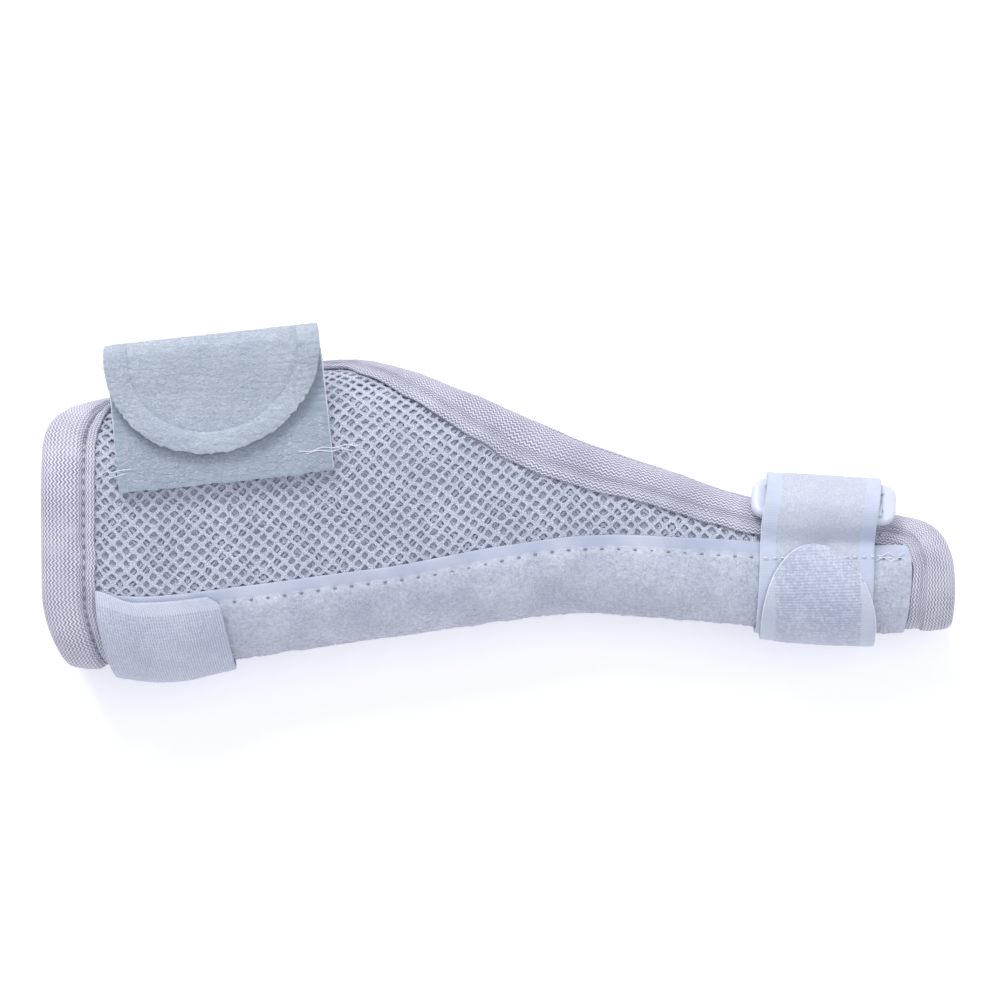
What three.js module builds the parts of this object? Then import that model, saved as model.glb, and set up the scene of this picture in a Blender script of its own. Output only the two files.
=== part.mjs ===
// Thumb spica splint: a soft mesh gutter that wraps the wrist and the thumb, lying on its back panel.
// X runs along the splint from the forearm end to the thumb end, Y from the spine to the open mouth,
// and Z up from the surface that the splint lies on. Millimetres. The origin is in the middle of the
// footprint, on that surface.
//
// The gutter is one padded wall. Each cross-section is a belt round two circles, a spine circle and a
// crown circle, left open at the mouth. A place on the wall is given as (x, s, rise): s is the arc length
// round the section from the spine, positive on the front panel and negative on the back panel, and rise
// is the height above the wall's outer face.
import * as THREE from "three";

// Driving dimensions of the wall
const SHELL_LENGTH = 210.6;
const FOREARM_HEIGHT = 65;
const THUMB_HEIGHT = 25;
const SPINE_RADIUS = 19;
const CROWN_RADIUS = 20.5;
const SPINE_BOW = 13;
const WALL = 3;
const CLEARANCE = 0.35;

// Driving dimensions of the tapes and straps
const TAPE = 1.2;
const STRIP_WIDTH = 47.5;
const STRIP_FRONT_FOREARM = 28.5;
const STRIP_FRONT_THUMB = 26;
const BINDING_WIDTH_FOREARM = 12.8;
const BINDING_WIDTH_MOUTH = 11;
const BINDING_WIDTH_THUMB = 10.6;
const BINDING_TIP = 2.2;
const EDGE_GAP = 0.5;
const RIM_GAP = 1.4;
const BINDING_RISE = 1.9;
const BINDING_DROP = 1.3;
const BINDING_RIM = { width: 2.4, slope: 0.7, groove: 0.6, crest: 0.9, edge: 0.7 };
const BINDING_OVERLAP = 1.5;
const SETBACK_REACH = 28.5;
const THUMB_PLAY = 0.2;
const FOREARM_CORNER = { alongX: 12, alongS: 16, spineSetback: 3.8 };
const THUMB_CORNER = { alongX: 12.5, alongS: 16.5, spineSetback: 1.2 };

const FLAP_LENGTH = 29.4;
const FLAP_SLANT = 3.2;
const FLAP_BULGE = 1.8;
const FLAP_BULGE_ENDS = 0.15;
const FLAP_BACK = 18;
const FLAP_OVERHANG = 0.4;
const FLAP_DIP = 2;
const FLAP_CORNER = 2.5;
const FLAP_CORNER_FROM = 0.9;

const WRIST_STRAP = 2.6;
const WRIST_STRAP_WIDTH = 49.5;
const WRIST_STRAP_X = 41.6;
const WRIST_STRAP_STITCH = 49.7;
const WRIST_STRAP_TURN = THREE.MathUtils.degToRad(6.2);
const WRIST_STRAP_HEM = 6.8;
const WRIST_STRAP_REACH = 23.5;
const WRIST_FOLD_RADIUS = 2.7;
const WRIST_TAB_LENGTH = 24.5;
const WRIST_TAB_STRAIGHT = 0.4;
const WRIST_TAB_GAP = 0.4;
const WRIST_TAB_LEAN = THREE.MathUtils.degToRad(1.7);
const WRIST_TAB_SETTLE = 0.6;
const WRIST_STRAP_SEAT = 0.2;
const WRIST_STRAP_DROOP = 0.42;

const THUMB_STRAP_WIDTH = 26.8;
const THUMB_STRAP_X = 180.4;
const THUMB_STRAP_LEAN = THREE.MathUtils.degToRad(1.7);
const CLOSURE_TIP_LENGTH = 17;
const CLOSURE_LEAN = THREE.MathUtils.degToRad(-2.8);
const CLOSURE_TIP_GAP = 1;
const CLOSURE_SHIFT = -0.1;
const CLOSURE_OVERHANG = 2.5;
const CLOSURE_TIP_CROWDING = 0.3;
const STRAP_BACK_SHARE = 0.9;

// The loop strap past its seam: its height beside the near bar and above it, its turn round the far bar
// in degrees, and its way back, as shares of the distance between the bars and of the wrap's radius.
const LOOP_SHOULDER = 0.78;
const LOOP_TOP = 0.75;
const LOOP_TURN = { from: 85, by: 225 };
const LOOP_RETURN = [
  { over: 0.54, up: 0 },
  { over: 0.26, up: 0.86 },
  { over: 0, up: 1 },
];
const LOOP_TAIL = { bars: 0.2, up: 0.8 };

const RING_BAR = 3;
const RING_SLOT_PLAY = 0.5;
const RING_HEIGHT = 10.2;
const RING_TURN = THREE.MathUtils.degToRad(-3.5);
const RING_TILT = THREE.MathUtils.degToRad(-27);
const RING_OVER_EDGE = 3.7;
const RING_CHAMFER = 0.66;
const RING_SLOT_CORNER = 1.5;

// Colours and finishes
const FINISH = {
  mesh: { color: 0xb4bccd, roughness: 0.9, metalness: 0 },
  plush: { color: 0xb0b9cb, roughness: 0.95, metalness: 0 },
  binding: { color: 0xc0c0d4, roughness: 0.85, metalness: 0 },
  hookTape: { color: 0xc3c9dd, roughness: 0.8, metalness: 0 },
  strapPlush: { color: 0xaeb9c6, roughness: 0.95, metalness: 0 },
  plastic: { color: 0xf4f5fc, roughness: 0.35, metalness: 0 },
};

// Where the spine, the height and the two circles stand along the wall, as shares: rise of SPINE_BOW,
// height from THUMB_HEIGHT to FOREARM_HEIGHT, spine and crown from the thumb's circle to their own radius.
// front and back are how far each panel's mouth edge stops short of the crown's top, in degrees.
const STATIONS = [
  { along: 0.0, rise: 0.09, height: 0.83, spine: 0.95, crown: 0.88, front: 4, back: 22 },
  { along: 0.107, rise: 0.0, height: 0.935, spine: 1.0, crown: 0.95, front: 3, back: 22 },
  { along: 0.22, rise: 0.22, height: 0.983, spine: 1.0, crown: 1.0, front: 0, back: 22 },
  { along: 0.332, rise: 0.49, height: 0.967, spine: 1.0, crown: 1.0, front: -2, back: 23 },
  { along: 0.388, rise: 0.61, height: 0.885, spine: 0.97, crown: 0.97, front: 6, back: 24 },
  { along: 0.444, rise: 0.74, height: 0.762, spine: 0.92, crown: 0.88, front: 17, back: 26 },
  { along: 0.5, rise: 0.87, height: 0.637, spine: 0.8, crown: 0.72, front: 30, back: 32 },
  { along: 0.557, rise: 0.97, height: 0.495, spine: 0.64, crown: 0.55, front: 41, back: 38 },
  { along: 0.612, rise: 1.0, height: 0.362, spine: 0.5, crown: 0.44, front: 40, back: 38 },
  { along: 0.669, rise: 0.94, height: 0.267, spine: 0.37, crown: 0.33, front: 35, back: 34 },
  { along: 0.781, rise: 0.785, height: 0.082, spine: 0.16, crown: 0.14, front: 24, back: 24 },
  { along: 0.894, rise: 0.646, height: 0.022, spine: 0.04, crown: 0.03, front: 18, back: 19 },
  { along: 1.0, rise: 0.68, height: 0.0, spine: 0.0, crown: 0.0, front: 18, back: 19 },
];

// Where the back panel comes off the forearm binding, and where it climbs onto the plush strip and the thumb
// straps, as shares of SHELL_LENGTH.
const RAMPS = {
  forearm: { from: 0.065, to: 0.26 },
  strip: { from: 0.4, to: 0.55 },
  straps: { from: 0.58, to: 0.77 },
};

// Soft hollows pressed into the front panel: place along SHELL_LENGTH and round the panel's half girth,
// spread as shares of the same two sizes, depth as a share of WALL.
const DENTS = [
  { along: 0.57, round: 0.24, spreadX: 0.045, spreadS: 0.16, depth: 0.45 },
  { along: 0.45, round: 0.62, spreadX: 0.11, spreadS: 0.2, depth: 0.4 },
  { along: 0.2, round: 0.5, spreadX: 0.1, spreadS: 0.16, depth: 0.25 },
];

// Stations of the meshes
const SHELL_STEPS = 24;
const STRIP_STEPS_ALONG = 24;
const ROUND_SHARES = [0, 0.08, 0.16, 0.24, 0.32, 0.4, 0.5, 0.6, 0.68, 0.75, 0.82, 0.88, 0.93, 0.97, 1];
const TAPE_STEPS_ROUND = 12;

const lerp = THREE.MathUtils.lerp;
const clamp = THREE.MathUtils.clamp;
const stackRise = (tapes) => tapes * (TAPE + CLEARANCE);
const THUMB_RADIUS = THUMB_HEIGHT / 2 - THUMB_PLAY;

// A smooth curve through one column of STATIONS.
function stationValue(column, along) {
  const last = STATIONS.length - 1;
  const at = clamp(along, 0, 1);
  let i = 0;
  while (i < last - 1 && STATIONS[i + 1].along < at) i += 1;
  const slope = (k) => {
    const before = STATIONS[Math.max(k - 1, 0)];
    const after = STATIONS[Math.min(k + 1, last)];
    return (after[column] - before[column]) / (after.along - before.along);
  };
  const from = STATIONS[i];
  const to = STATIONS[i + 1];
  const span = to.along - from.along;
  const t = (at - from.along) / span;
  const t2 = t * t;
  const t3 = t2 * t;
  return (
    (2 * t3 - 3 * t2 + 1) * from[column] +
    (t3 - 2 * t2 + t) * span * slope(i) +
    (3 * t2 - 2 * t3) * to[column] +
    (t3 - t2) * span * slope(i + 1)
  );
}

// How high the back panel lies: on the forearm binding at one end, on the ground at the wrist, then on the
// plush strip, and on the thumb straps at the other end.
function backHeight(x) {
  const off = (ramp) => THREE.MathUtils.smoothstep(x / SHELL_LENGTH, ramp.from, ramp.to);
  const onBinding = BINDING_RISE * (1 - off(RAMPS.forearm));
  return onBinding + stackRise(1) * off(RAMPS.strip) + stackRise(2) * off(RAMPS.straps);
}

function section(x) {
  const along = x / SHELL_LENGTH;
  const height = lerp(THUMB_HEIGHT, FOREARM_HEIGHT, stationValue("height", along));
  const spine = lerp(THUMB_RADIUS, SPINE_RADIUS, stationValue("spine", along));
  const crown = lerp(THUMB_RADIUS, CROWN_RADIUS, stationValue("crown", along));
  const straight = Math.max(height - spine - crown, 0);
  const lean = Math.atan2(crown - spine, Math.max(straight, 1e-6));
  const spineArc = spine * (Math.PI / 2 - lean);
  const reachTo = (side) => {
    const short = THREE.MathUtils.degToRad(stationValue(side, along));
    return spineArc + straight + crown * (Math.PI / 2 + lean - short);
  };
  return {
    spine,
    crown,
    straight,
    lean,
    spineArc,
    between: Math.hypot(straight, crown - spine),
    centreY: SPINE_BOW * stationValue("rise", along) + spine,
    centreZ: backHeight(x) + spine,
    toCrown: spineArc + straight + (crown * Math.PI) / 2 + crown * lean,
    front: reachTo("front"),
    back: reachTo("back"),
  };
}

function dentDepth(x, s, front) {
  return DENTS.reduce((sum, dent) => {
    const dx = (x / SHELL_LENGTH - dent.along) / dent.spreadX;
    const ds = (s / front - dent.round) / dent.spreadS;
    return sum + WALL * dent.depth * Math.exp(-dx * dx - ds * ds);
  }, 0);
}

// The point at x, s and rise, with s > 0 on the front panel.
function onShell(x, s, rise) {
  const q = section(x);
  const t = Math.abs(s);
  const lift = rise - dentDepth(x, s, q.front);
  const square = Math.PI / 2 + q.lean;
  let u;
  let v;
  if (t <= q.spineArc) {
    const angle = Math.PI - t / q.spine;
    u = (q.spine + lift) * Math.cos(angle);
    v = (q.spine + lift) * Math.sin(angle);
  } else if (t <= q.spineArc + q.straight) {
    const run = t - q.spineArc;
    u = (q.spine + lift) * Math.cos(square) + run * Math.cos(q.lean);
    v = (q.spine + lift) * Math.sin(square) + run * Math.sin(q.lean);
  } else {
    const angle = square - (t - q.spineArc - q.straight) / q.crown;
    u = q.between + (q.crown + lift) * Math.cos(angle);
    v = (q.crown + lift) * Math.sin(angle);
  }
  if (s < 0) v = -v;
  return new THREE.Vector3(
    x,
    q.centreY + u * Math.cos(q.lean) - v * Math.sin(q.lean),
    q.centreZ + u * Math.sin(q.lean) + v * Math.cos(q.lean),
  );
}

// The arc length round the section at x of a share of one panel: share 1 is the front panel's mouth edge,
// -1 the back panel's, and 0 the spine.
function arcAt(x, share) {
  const q = section(x);
  return share * (share < 0 ? q.back : q.front);
}

// How far the wall's end lies in from its furthest point at a share of the panel: the spine sits back from
// the panels, and the corner at the mouth is round.
function endInset(share, thumb) {
  const corner = thumb ? THUMB_CORNER : FOREARM_CORNER;
  const s = Math.abs(arcAt(thumb ? SHELL_LENGTH : 0, share));
  const edge = Math.abs(arcAt(thumb ? SHELL_LENGTH : 0, Math.sign(share) || 1));
  const reach = SETBACK_REACH;
  const setback = s < reach ? (corner.spineSetback / 2) * (1 + Math.cos((Math.PI * s) / reach)) : 0;
  const into = clamp((s - (edge - corner.alongS)) / corner.alongS, 0, 1);
  return setback + corner.alongX * (1 - Math.sqrt(1 - into * into));
}

const forearmEdge = (share) => endInset(share, false);
const thumbEdge = (share) => SHELL_LENGTH - endInset(share, true);

// A closed geometry from points and faces of three or four corners, turned to face out.
function closedGeometry(points, faces) {
  const index = faces.flatMap((f) => (f.length === 4 ? [f[0], f[1], f[2], f[0], f[2], f[3]] : f));
  let volume = 0;
  for (let i = 0; i < index.length; i += 3) {
    const [a, b, c] = [points[index[i]], points[index[i + 1]], points[index[i + 2]]];
    volume += a.dot(new THREE.Vector3().crossVectors(b, c));
  }
  if (volume < 0) index.reverse();
  const geometry = new THREE.BufferGeometry().setFromPoints(points);
  geometry.setIndex(index);
  geometry.computeVertexNormals();
  return geometry;
}

// A sheet with two faces: outer and inner are grids of points of the same size, joined round the rim.
function sheetGeometry(outer, inner) {
  const rows = outer.length;
  const columns = outer[0].length;
  const points = [...outer.flat(), ...inner.flat()];
  const at = (side, i, j) => side * rows * columns + i * columns + j;
  const faces = [];
  for (let i = 0; i < rows - 1; i += 1) {
    for (let j = 0; j < columns - 1; j += 1) {
      faces.push([at(0, i, j), at(0, i + 1, j), at(0, i + 1, j + 1), at(0, i, j + 1)]);
      faces.push([at(1, i, j), at(1, i, j + 1), at(1, i + 1, j + 1), at(1, i + 1, j)]);
    }
  }
  for (let i = 0; i < rows - 1; i += 1) {
    faces.push([at(0, i, 0), at(1, i, 0), at(1, i + 1, 0), at(0, i + 1, 0)]);
    const j = columns - 1;
    faces.push([at(0, i, j), at(0, i + 1, j), at(1, i + 1, j), at(1, i, j)]);
  }
  for (let j = 0; j < columns - 1; j += 1) {
    faces.push([at(0, 0, j), at(0, 0, j + 1), at(1, 0, j + 1), at(1, 0, j)]);
    const i = rows - 1;
    faces.push([at(0, i, j), at(1, i, j), at(1, i, j + 1), at(0, i, j + 1)]);
  }
  return closedGeometry(points, faces);
}

// A bar of constant topology: rings of points, one after another, closed at both ends.
function barGeometry(rings, profile) {
  const size = profile.length;
  const points = rings.flat();
  const faces = [];
  for (let i = 0; i < rings.length - 1; i += 1) {
    for (let k = 0; k < size; k += 1) {
      const next = (k + 1) % size;
      faces.push([i * size + k, i * size + next, (i + 1) * size + next, (i + 1) * size + k]);
    }
  }
  const outline = profile.map((p) => new THREE.Vector2(p.inward, p.rise));
  const turn = THREE.ShapeUtils.isClockWise(outline) ? -1 : 1;
  const cap = THREE.ShapeUtils.triangulateShape(turn < 0 ? [...outline].reverse() : outline, []);
  const place = (k) => (turn < 0 ? size - 1 - k : k);
  const end = (rings.length - 1) * size;
  for (const [a, b, c] of cap) {
    const corners = [place(a), place(b), place(c)];
    const first = turn < 0 ? corners : [corners[0], corners[2], corners[1]];
    faces.push(first);
    faces.push([...first].reverse().map((k) => end + k));
  }
  return closedGeometry(points, faces);
}

function namedMesh(name, geometry, finish) {
  const mesh = new THREE.Mesh(geometry, new THREE.MeshStandardMaterial(FINISH[finish]));
  mesh.name = name;
  return mesh;
}

const steps = (count) => Array.from({ length: count + 1 }, (_, i) => i / count);
const bothSides = (shares) => [...shares.slice(1).reverse().map((v) => -v), ...shares];

// The wall's own x at a step along it.
const wallX = (share, u) => lerp(forearmEdge(share), thumbEdge(share), u);

// The padded mesh wall, one piece from mouth edge to mouth edge.
function meshShell() {
  const grid = (rise) =>
    steps(SHELL_STEPS).map((u) =>
      bothSides(ROUND_SHARES).map((share) => {
        const x = wallX(share, u);
        return onShell(x, arcAt(x, share), rise);
      }),
    );
  return namedMesh("mesh_shell", sheetGeometry(grid(0), grid(-WALL)), "mesh");
}

// The padded edge binding in profile: inward is measured from the wall's edge, rise from its outer face.
// width is how far the binding reaches in all, from its round tip to the edge of its stitched rim.
function bindingProfile(width) {
  const reach = width - BINDING_TIP;
  const groove = reach - BINDING_RIM.width;
  const under = -WALL - CLEARANCE;
  const legUnder = reach * 0.7;
  return [
    { inward: -BINDING_TIP, rise: -WALL / 2 },
    { inward: -BINDING_TIP * 0.75, rise: BINDING_RISE * 0.15 },
    { inward: -BINDING_TIP * 0.25, rise: BINDING_RISE * 0.8 },
    { inward: reach * 0.12, rise: BINDING_RISE },
    { inward: reach * 0.5, rise: BINDING_RISE },
    { inward: groove - BINDING_RIM.slope, rise: BINDING_RISE * 0.72 },
    { inward: groove, rise: CLEARANCE + BINDING_RIM.groove },
    { inward: groove + BINDING_RIM.slope, rise: CLEARANCE + BINDING_RIM.crest },
    { inward: reach, rise: CLEARANCE + BINDING_RIM.edge },
    { inward: reach, rise: CLEARANCE },
    { inward: reach * 0.62, rise: CLEARANCE },
    { inward: reach * 0.28, rise: CLEARANCE },
    { inward: -EDGE_GAP, rise: CLEARANCE },
    { inward: -EDGE_GAP, rise: under },
    { inward: legUnder, rise: under },
    { inward: legUnder, rise: under - BINDING_DROP * 0.6 },
    { inward: -BINDING_TIP * 0.25, rise: under - BINDING_DROP },
    { inward: -BINDING_TIP * 0.75, rise: -WALL * 0.85 },
  ];
}

// One panel's edge as a line of (x, s) places, from the spine at one end of the wall, round the corner and
// along the mouth to `until`. side is 1 on the front panel and -1 on the back.
function panelEdge(side, thumb, until) {
  const edge = thumb ? thumbEdge : forearmEdge;
  const line = ROUND_SHARES.map((share) => ({ x: edge(side * share), share: side * share }));
  const mouth = steps(SHELL_STEPS).map((u) => wallX(side, u));
  const beyond = (x) => (thumb ? x < thumbEdge(side) && x > until : x > forearmEdge(side) && x < until);
  const between = mouth.filter(beyond);
  if (thumb) between.reverse();
  for (const x of [...between, until]) line.push({ x, share: side });
  return line.map((spot) => ({ x: spot.x, s: arcAt(spot.x, spot.share) }));
}

// The binding along one panel's edge: a ring of the profile at each place, set square to the edge.
function panelBinding(side, thumb, until, widthAt) {
  const line = panelEdge(side, thumb, until);
  return line.map((spot, i) => {
    const before = line[Math.max(i - 1, 0)];
    const after = line[Math.min(i + 1, line.length - 1)];
    const tangent = new THREE.Vector2(after.x - before.x, after.s - before.s).normalize();
    if (i === 0) tangent.set(0, side);
    if (i === line.length - 1) tangent.set(thumb ? -1 : 1, 0);
    const inward = new THREE.Vector2(tangent.y, -tangent.x).multiplyScalar(thumb ? -side : side);
    return bindingProfile(widthAt(spot.x)).map((p) =>
      onShell(spot.x + inward.x * p.inward, spot.s + inward.y * p.inward, p.rise),
    );
  });
}

// A whole binding, from the mouth of the back panel round the wall's end to the mouth of the front panel.
function bindingMesh(name, thumb, until, widthAt) {
  const front = panelBinding(1, thumb, until, widthAt);
  const back = panelBinding(-1, thumb, until, widthAt).slice(1).reverse();
  return namedMesh(name, barGeometry([...back, ...front], bindingProfile(widthAt(until))), "binding");
}

// Where the long mouth bindings stop and the thumb end's binding takes over.
const THUMB_BINDING_FROM = SHELL_LENGTH - THUMB_CORNER.alongX - BINDING_OVERLAP;

function forearmAndMouthBinding() {
  const widthAt = (x) => {
    const share = THREE.MathUtils.smoothstep(x / FOREARM_CORNER.alongX, 1, 3);
    return lerp(BINDING_WIDTH_FOREARM, BINDING_WIDTH_MOUTH, share);
  };
  return bindingMesh("edge_binding", false, THUMB_BINDING_FROM - CLEARANCE, widthAt);
}

const thumbEndBinding = () =>
  bindingMesh("thumb_end_binding", true, THUMB_BINDING_FROM, () => BINDING_WIDTH_THUMB);

// The plush strip's two long edges at x, as arc lengths.
const stripFront = (x) => lerp(STRIP_FRONT_FOREARM, STRIP_FRONT_THUMB, clamp(x / SHELL_LENGTH, 0, 1));
const stripBack = (x) => stripFront(x) - STRIP_WIDTH;
const shareAt = (x, s) => s / (s < 0 ? section(x).back : section(x).front);
const forearmRim = (s) => forearmEdge(shareAt(0, s)) + BINDING_WIDTH_FOREARM - BINDING_TIP + RIM_GAP;
const thumbRim = (s) => thumbEdge(shareAt(SHELL_LENGTH, s)) - BINDING_WIDTH_THUMB + BINDING_TIP - RIM_GAP;

// The loop-pile strip that runs along the spine, between the two bindings.
function plushStrip() {
  const grid = (rise) =>
    steps(STRIP_STEPS_ALONG).map((u) =>
      steps(TAPE_STEPS_ROUND).map((v) => {
        const guess = SHELL_LENGTH * u;
        const s = lerp(stripBack(guess), stripFront(guess), v);
        const x = lerp(forearmRim(s), thumbRim(s), u);
        return onShell(x, lerp(stripBack(x), stripFront(x), v), rise);
      }),
    );
  return namedMesh("plush_strip", sheetGeometry(grid(CLEARANCE + TAPE), grid(CLEARANCE)), "plush");
}

// The hook-tape flap at the forearm end, laid round the spine over the plush strip and bulging off it.
function hookFlap() {
  const floor = stackRise(1) + CLEARANCE;
  const grid = (rise) =>
    steps(8).map((u) =>
      steps(TAPE_STEPS_ROUND).map((v) => {
        const round = 2 * v - 1;
        const dip = FLAP_DIP * THREE.MathUtils.smoothstep(u, 0, 0.35);
        const s = lerp(-FLAP_BACK, STRIP_FRONT_FOREARM + FLAP_OVERHANG - dip, v);
        const from = forearmRim(s);
        const slant = FLAP_SLANT * (1 - round ** 2);
        const over = Math.max(Math.abs(round) - FLAP_CORNER_FROM, 0) / (1 - FLAP_CORNER_FROM);
        const corner = FLAP_CORNER * over;
        const x = lerp(from, BINDING_WIDTH_FOREARM + FLAP_LENGTH - FLAP_SLANT + slant - corner, u);
        const across = Math.cos((round * Math.PI) / 2) ** 2;
        const along = Math.sin(Math.PI * lerp(FLAP_BULGE_ENDS, 1 - FLAP_BULGE_ENDS, u));
        const bulge = FLAP_BULGE * along * across;
        return onShell(x, s, rise + bulge);
      }),
    );
  return namedMesh("hook_flap", sheetGeometry(grid(floor + TAPE), grid(floor)), "hookTape");
}

// The height of the front panel's outer face under the plan position (x, y), found by halving.
function frontHeight(x, y, rise) {
  let low = 0;
  let high = section(x).toCrown;
  for (let i = 0; i < 40; i += 1) {
    const middle = (low + high) / 2;
    if (onShell(x, middle, rise).y < y) low = middle;
    else high = middle;
  }
  return onShell(x, (low + high) / 2, rise).z;
}

// Offsets a row of points to both sides of its own line, in the plane of `run` and Z.
function offsetRow(row, run, distance) {
  return row.map((p, i) => {
    const before = row[Math.max(i - 1, 0)];
    const after = row[Math.min(i + 1, row.length - 1)];
    const tangent = new THREE.Vector3().subVectors(after, before);
    const along = tangent.dot(run);
    const normal = run.clone().multiplyScalar(-tangent.z).setZ(along).normalize();
    return p.clone().addScaledVector(normal, distance);
  });
}

// The padded wrist strap: stitched to the front panel, standing off past the mouth edge, folded over and
// lying back on itself with a round tab.
function wristStrap() {
  const across = new THREE.Vector3(Math.cos(WRIST_STRAP_TURN), Math.sin(WRIST_STRAP_TURN), 0);
  const run = new THREE.Vector3(-Math.sin(WRIST_STRAP_TURN), Math.cos(WRIST_STRAP_TURN), 0);
  const stitch = new THREE.Vector3(WRIST_STRAP_X, WRIST_STRAP_STITCH, 0);
  const seat = CLEARANCE + WRIST_STRAP_SEAT + WRIST_STRAP / 2;
  const panelHeight = (c, p) => {
    const spot = stitch.clone().addScaledVector(across, c).addScaledVector(run, p);
    return frontHeight(spot.x, spot.y, seat);
  };
  const halfWidth = WRIST_STRAP_WIDTH / 2;
  const stitchHeight = panelHeight(0, 0);
  const slope = (panelHeight(0, 1) - panelHeight(0, -1)) / 2;
  const tabRound = WRIST_TAB_LENGTH - WRIST_TAB_STRAIGHT;
  const closing = WRIST_FOLD_RADIUS - (WRIST_STRAP / 2 + WRIST_TAB_GAP);

  // The strap's own line at a share c of its half width: p along `run` and the height z.
  const lineAt = (c) => {
    const local = panelHeight(c * halfWidth, 0) - stitchHeight;
    const free = (p) => {
      const t = p / WRIST_STRAP_REACH;
      return stitchHeight + local * (1 - t) + slope * p * (1 - WRIST_STRAP_DROOP * t);
    };
    const line = [];
    for (const t of steps(4)) {
      const p = -WRIST_STRAP_HEM * (1 - t);
      line.push({ p, z: panelHeight(c * halfWidth, p), width: 1 });
    }
    for (const t of steps(6).slice(1)) {
      line.push({ p: t * WRIST_STRAP_REACH, z: free(t * WRIST_STRAP_REACH), width: 1 });
    }
    const foldZ = free(WRIST_STRAP_REACH) + WRIST_FOLD_RADIUS;
    for (const t of steps(6).slice(1)) {
      const angle = -Math.PI / 2 + Math.PI * t;
      line.push({
        p: WRIST_STRAP_REACH + WRIST_FOLD_RADIUS * Math.cos(angle),
        z: foldZ + WRIST_FOLD_RADIUS * Math.sin(angle),
        width: 1,
      });
    }
    for (const t of steps(13).slice(1)) {
      const q = WRIST_TAB_LENGTH * Math.sin((t * Math.PI) / 2);
      const p = WRIST_STRAP_REACH - q;
      const into = clamp((q - (WRIST_TAB_LENGTH - tabRound)) / tabRound, 0, 0.998);
      const settle = Math.min(q / (WRIST_TAB_LENGTH * WRIST_TAB_SETTLE), 1);
      const gap = 2 * WRIST_FOLD_RADIUS - 2 * closing * settle * settle * (3 - 2 * settle);
      const under = p > 0 ? free(p) : panelHeight(c * halfWidth, p);
      line.push({ p, z: under + gap, width: Math.sqrt(1 - into * into), lean: q * Math.tan(WRIST_TAB_LEAN) });
    }
    return line;
  };
  const rows = bothSides(steps(4)).map((c) =>
    lineAt(c).map((k) => {
      const aside = c * halfWidth * k.width - (k.lean ?? 0);
      const spot = stitch.clone().addScaledVector(across, aside).addScaledVector(run, k.p);
      return spot.setZ(k.z);
    }),
  );
  const outer = rows.map((row) => offsetRow(row, run, -WRIST_STRAP / 2));
  const inner = rows.map((row) => offsetRow(row, run, WRIST_STRAP / 2));
  return namedMesh("wrist_strap", sheetGeometry(outer, inner), "strapPlush");
}

// The plastic ring's place: its far bar stands over the mouth edge, its near bar lies on the binding.
function ringPlace() {
  const q = section(THUMB_STRAP_X);
  const pitch = RING_HEIGHT - RING_BAR;
  const centreY = onShell(THUMB_STRAP_X, q.front, 0).y + RING_OVER_EDGE;
  const nearY = centreY - (pitch / 2) * Math.cos(RING_TILT);
  const seats = [-0.5, 0, 0.5].map((share) => {
    const c = share * ringLength();
    const x = THUMB_STRAP_X + c * Math.cos(RING_TURN);
    return frontHeight(x, nearY + c * Math.sin(RING_TURN), BINDING_RISE + CLEARANCE + RING_BAR / 2);
  });
  const nearZ = Math.max(...seats);
  return { y: centreY, z: nearZ + (pitch / 2) * Math.sin(RING_TILT), nearY, nearZ, pitch };
}

const SLOT_LENGTH = THUMB_STRAP_WIDTH + 2 * RING_SLOT_PLAY;
const ringLength = () => SLOT_LENGTH + 2 * RING_BAR;

function thumbRing() {
  const place = ringPlace();
  const rounded = (path, width, height, radius) => {
    const [w, h] = [width / 2, height / 2];
    path.moveTo(w - radius, -h);
    path.absarc(w - radius, -h + radius, radius, -Math.PI / 2, 0, false);
    path.absarc(w - radius, h - radius, radius, 0, Math.PI / 2, false);
    path.absarc(-w + radius, h - radius, radius, Math.PI / 2, Math.PI, false);
    path.absarc(-w + radius, -h + radius, radius, Math.PI, 1.5 * Math.PI, false);
    path.closePath();
    return path;
  };
  const edge = RING_CHAMFER;
  const shape = rounded(new THREE.Shape(), ringLength() - 2 * edge, RING_HEIGHT - 2 * edge, RING_BAR);
  const slot = rounded(
    new THREE.Path(),
    SLOT_LENGTH + 2 * edge,
    RING_HEIGHT - 2 * RING_BAR + 2 * edge,
    RING_SLOT_CORNER,
  );
  shape.holes.push(slot);
  const geometry = new THREE.ExtrudeGeometry(shape, {
    depth: RING_BAR - 2 * edge,
    bevelEnabled: true,
    bevelThickness: edge,
    bevelSize: edge,
    bevelSegments: 1,
    curveSegments: 3,
  });
  geometry.translate(0, 0, -(RING_BAR - 2 * edge) / 2);
  const ring = namedMesh("thumb_ring", geometry, "plastic");
  ring.rotation.set(RING_TILT, 0, RING_TURN, "ZXY");
  ring.position.copy(leanOver(new THREE.Vector3(THUMB_STRAP_X, place.y, place.z)));
  return ring;
}

// Shifts a thumb strap's points sideways as they go up, because the strap leans.
const leanOver = (point) => point.setX(point.x + Math.tan(THUMB_STRAP_LEAN) * (point.y - SPINE_RADIUS));
const strapStations = (count) => steps(count).map((t) => (t - 0.5) * THUMB_STRAP_WIDTH);
const backStart = (x) => STRAP_BACK_SHARE * stripBack(x);

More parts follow.
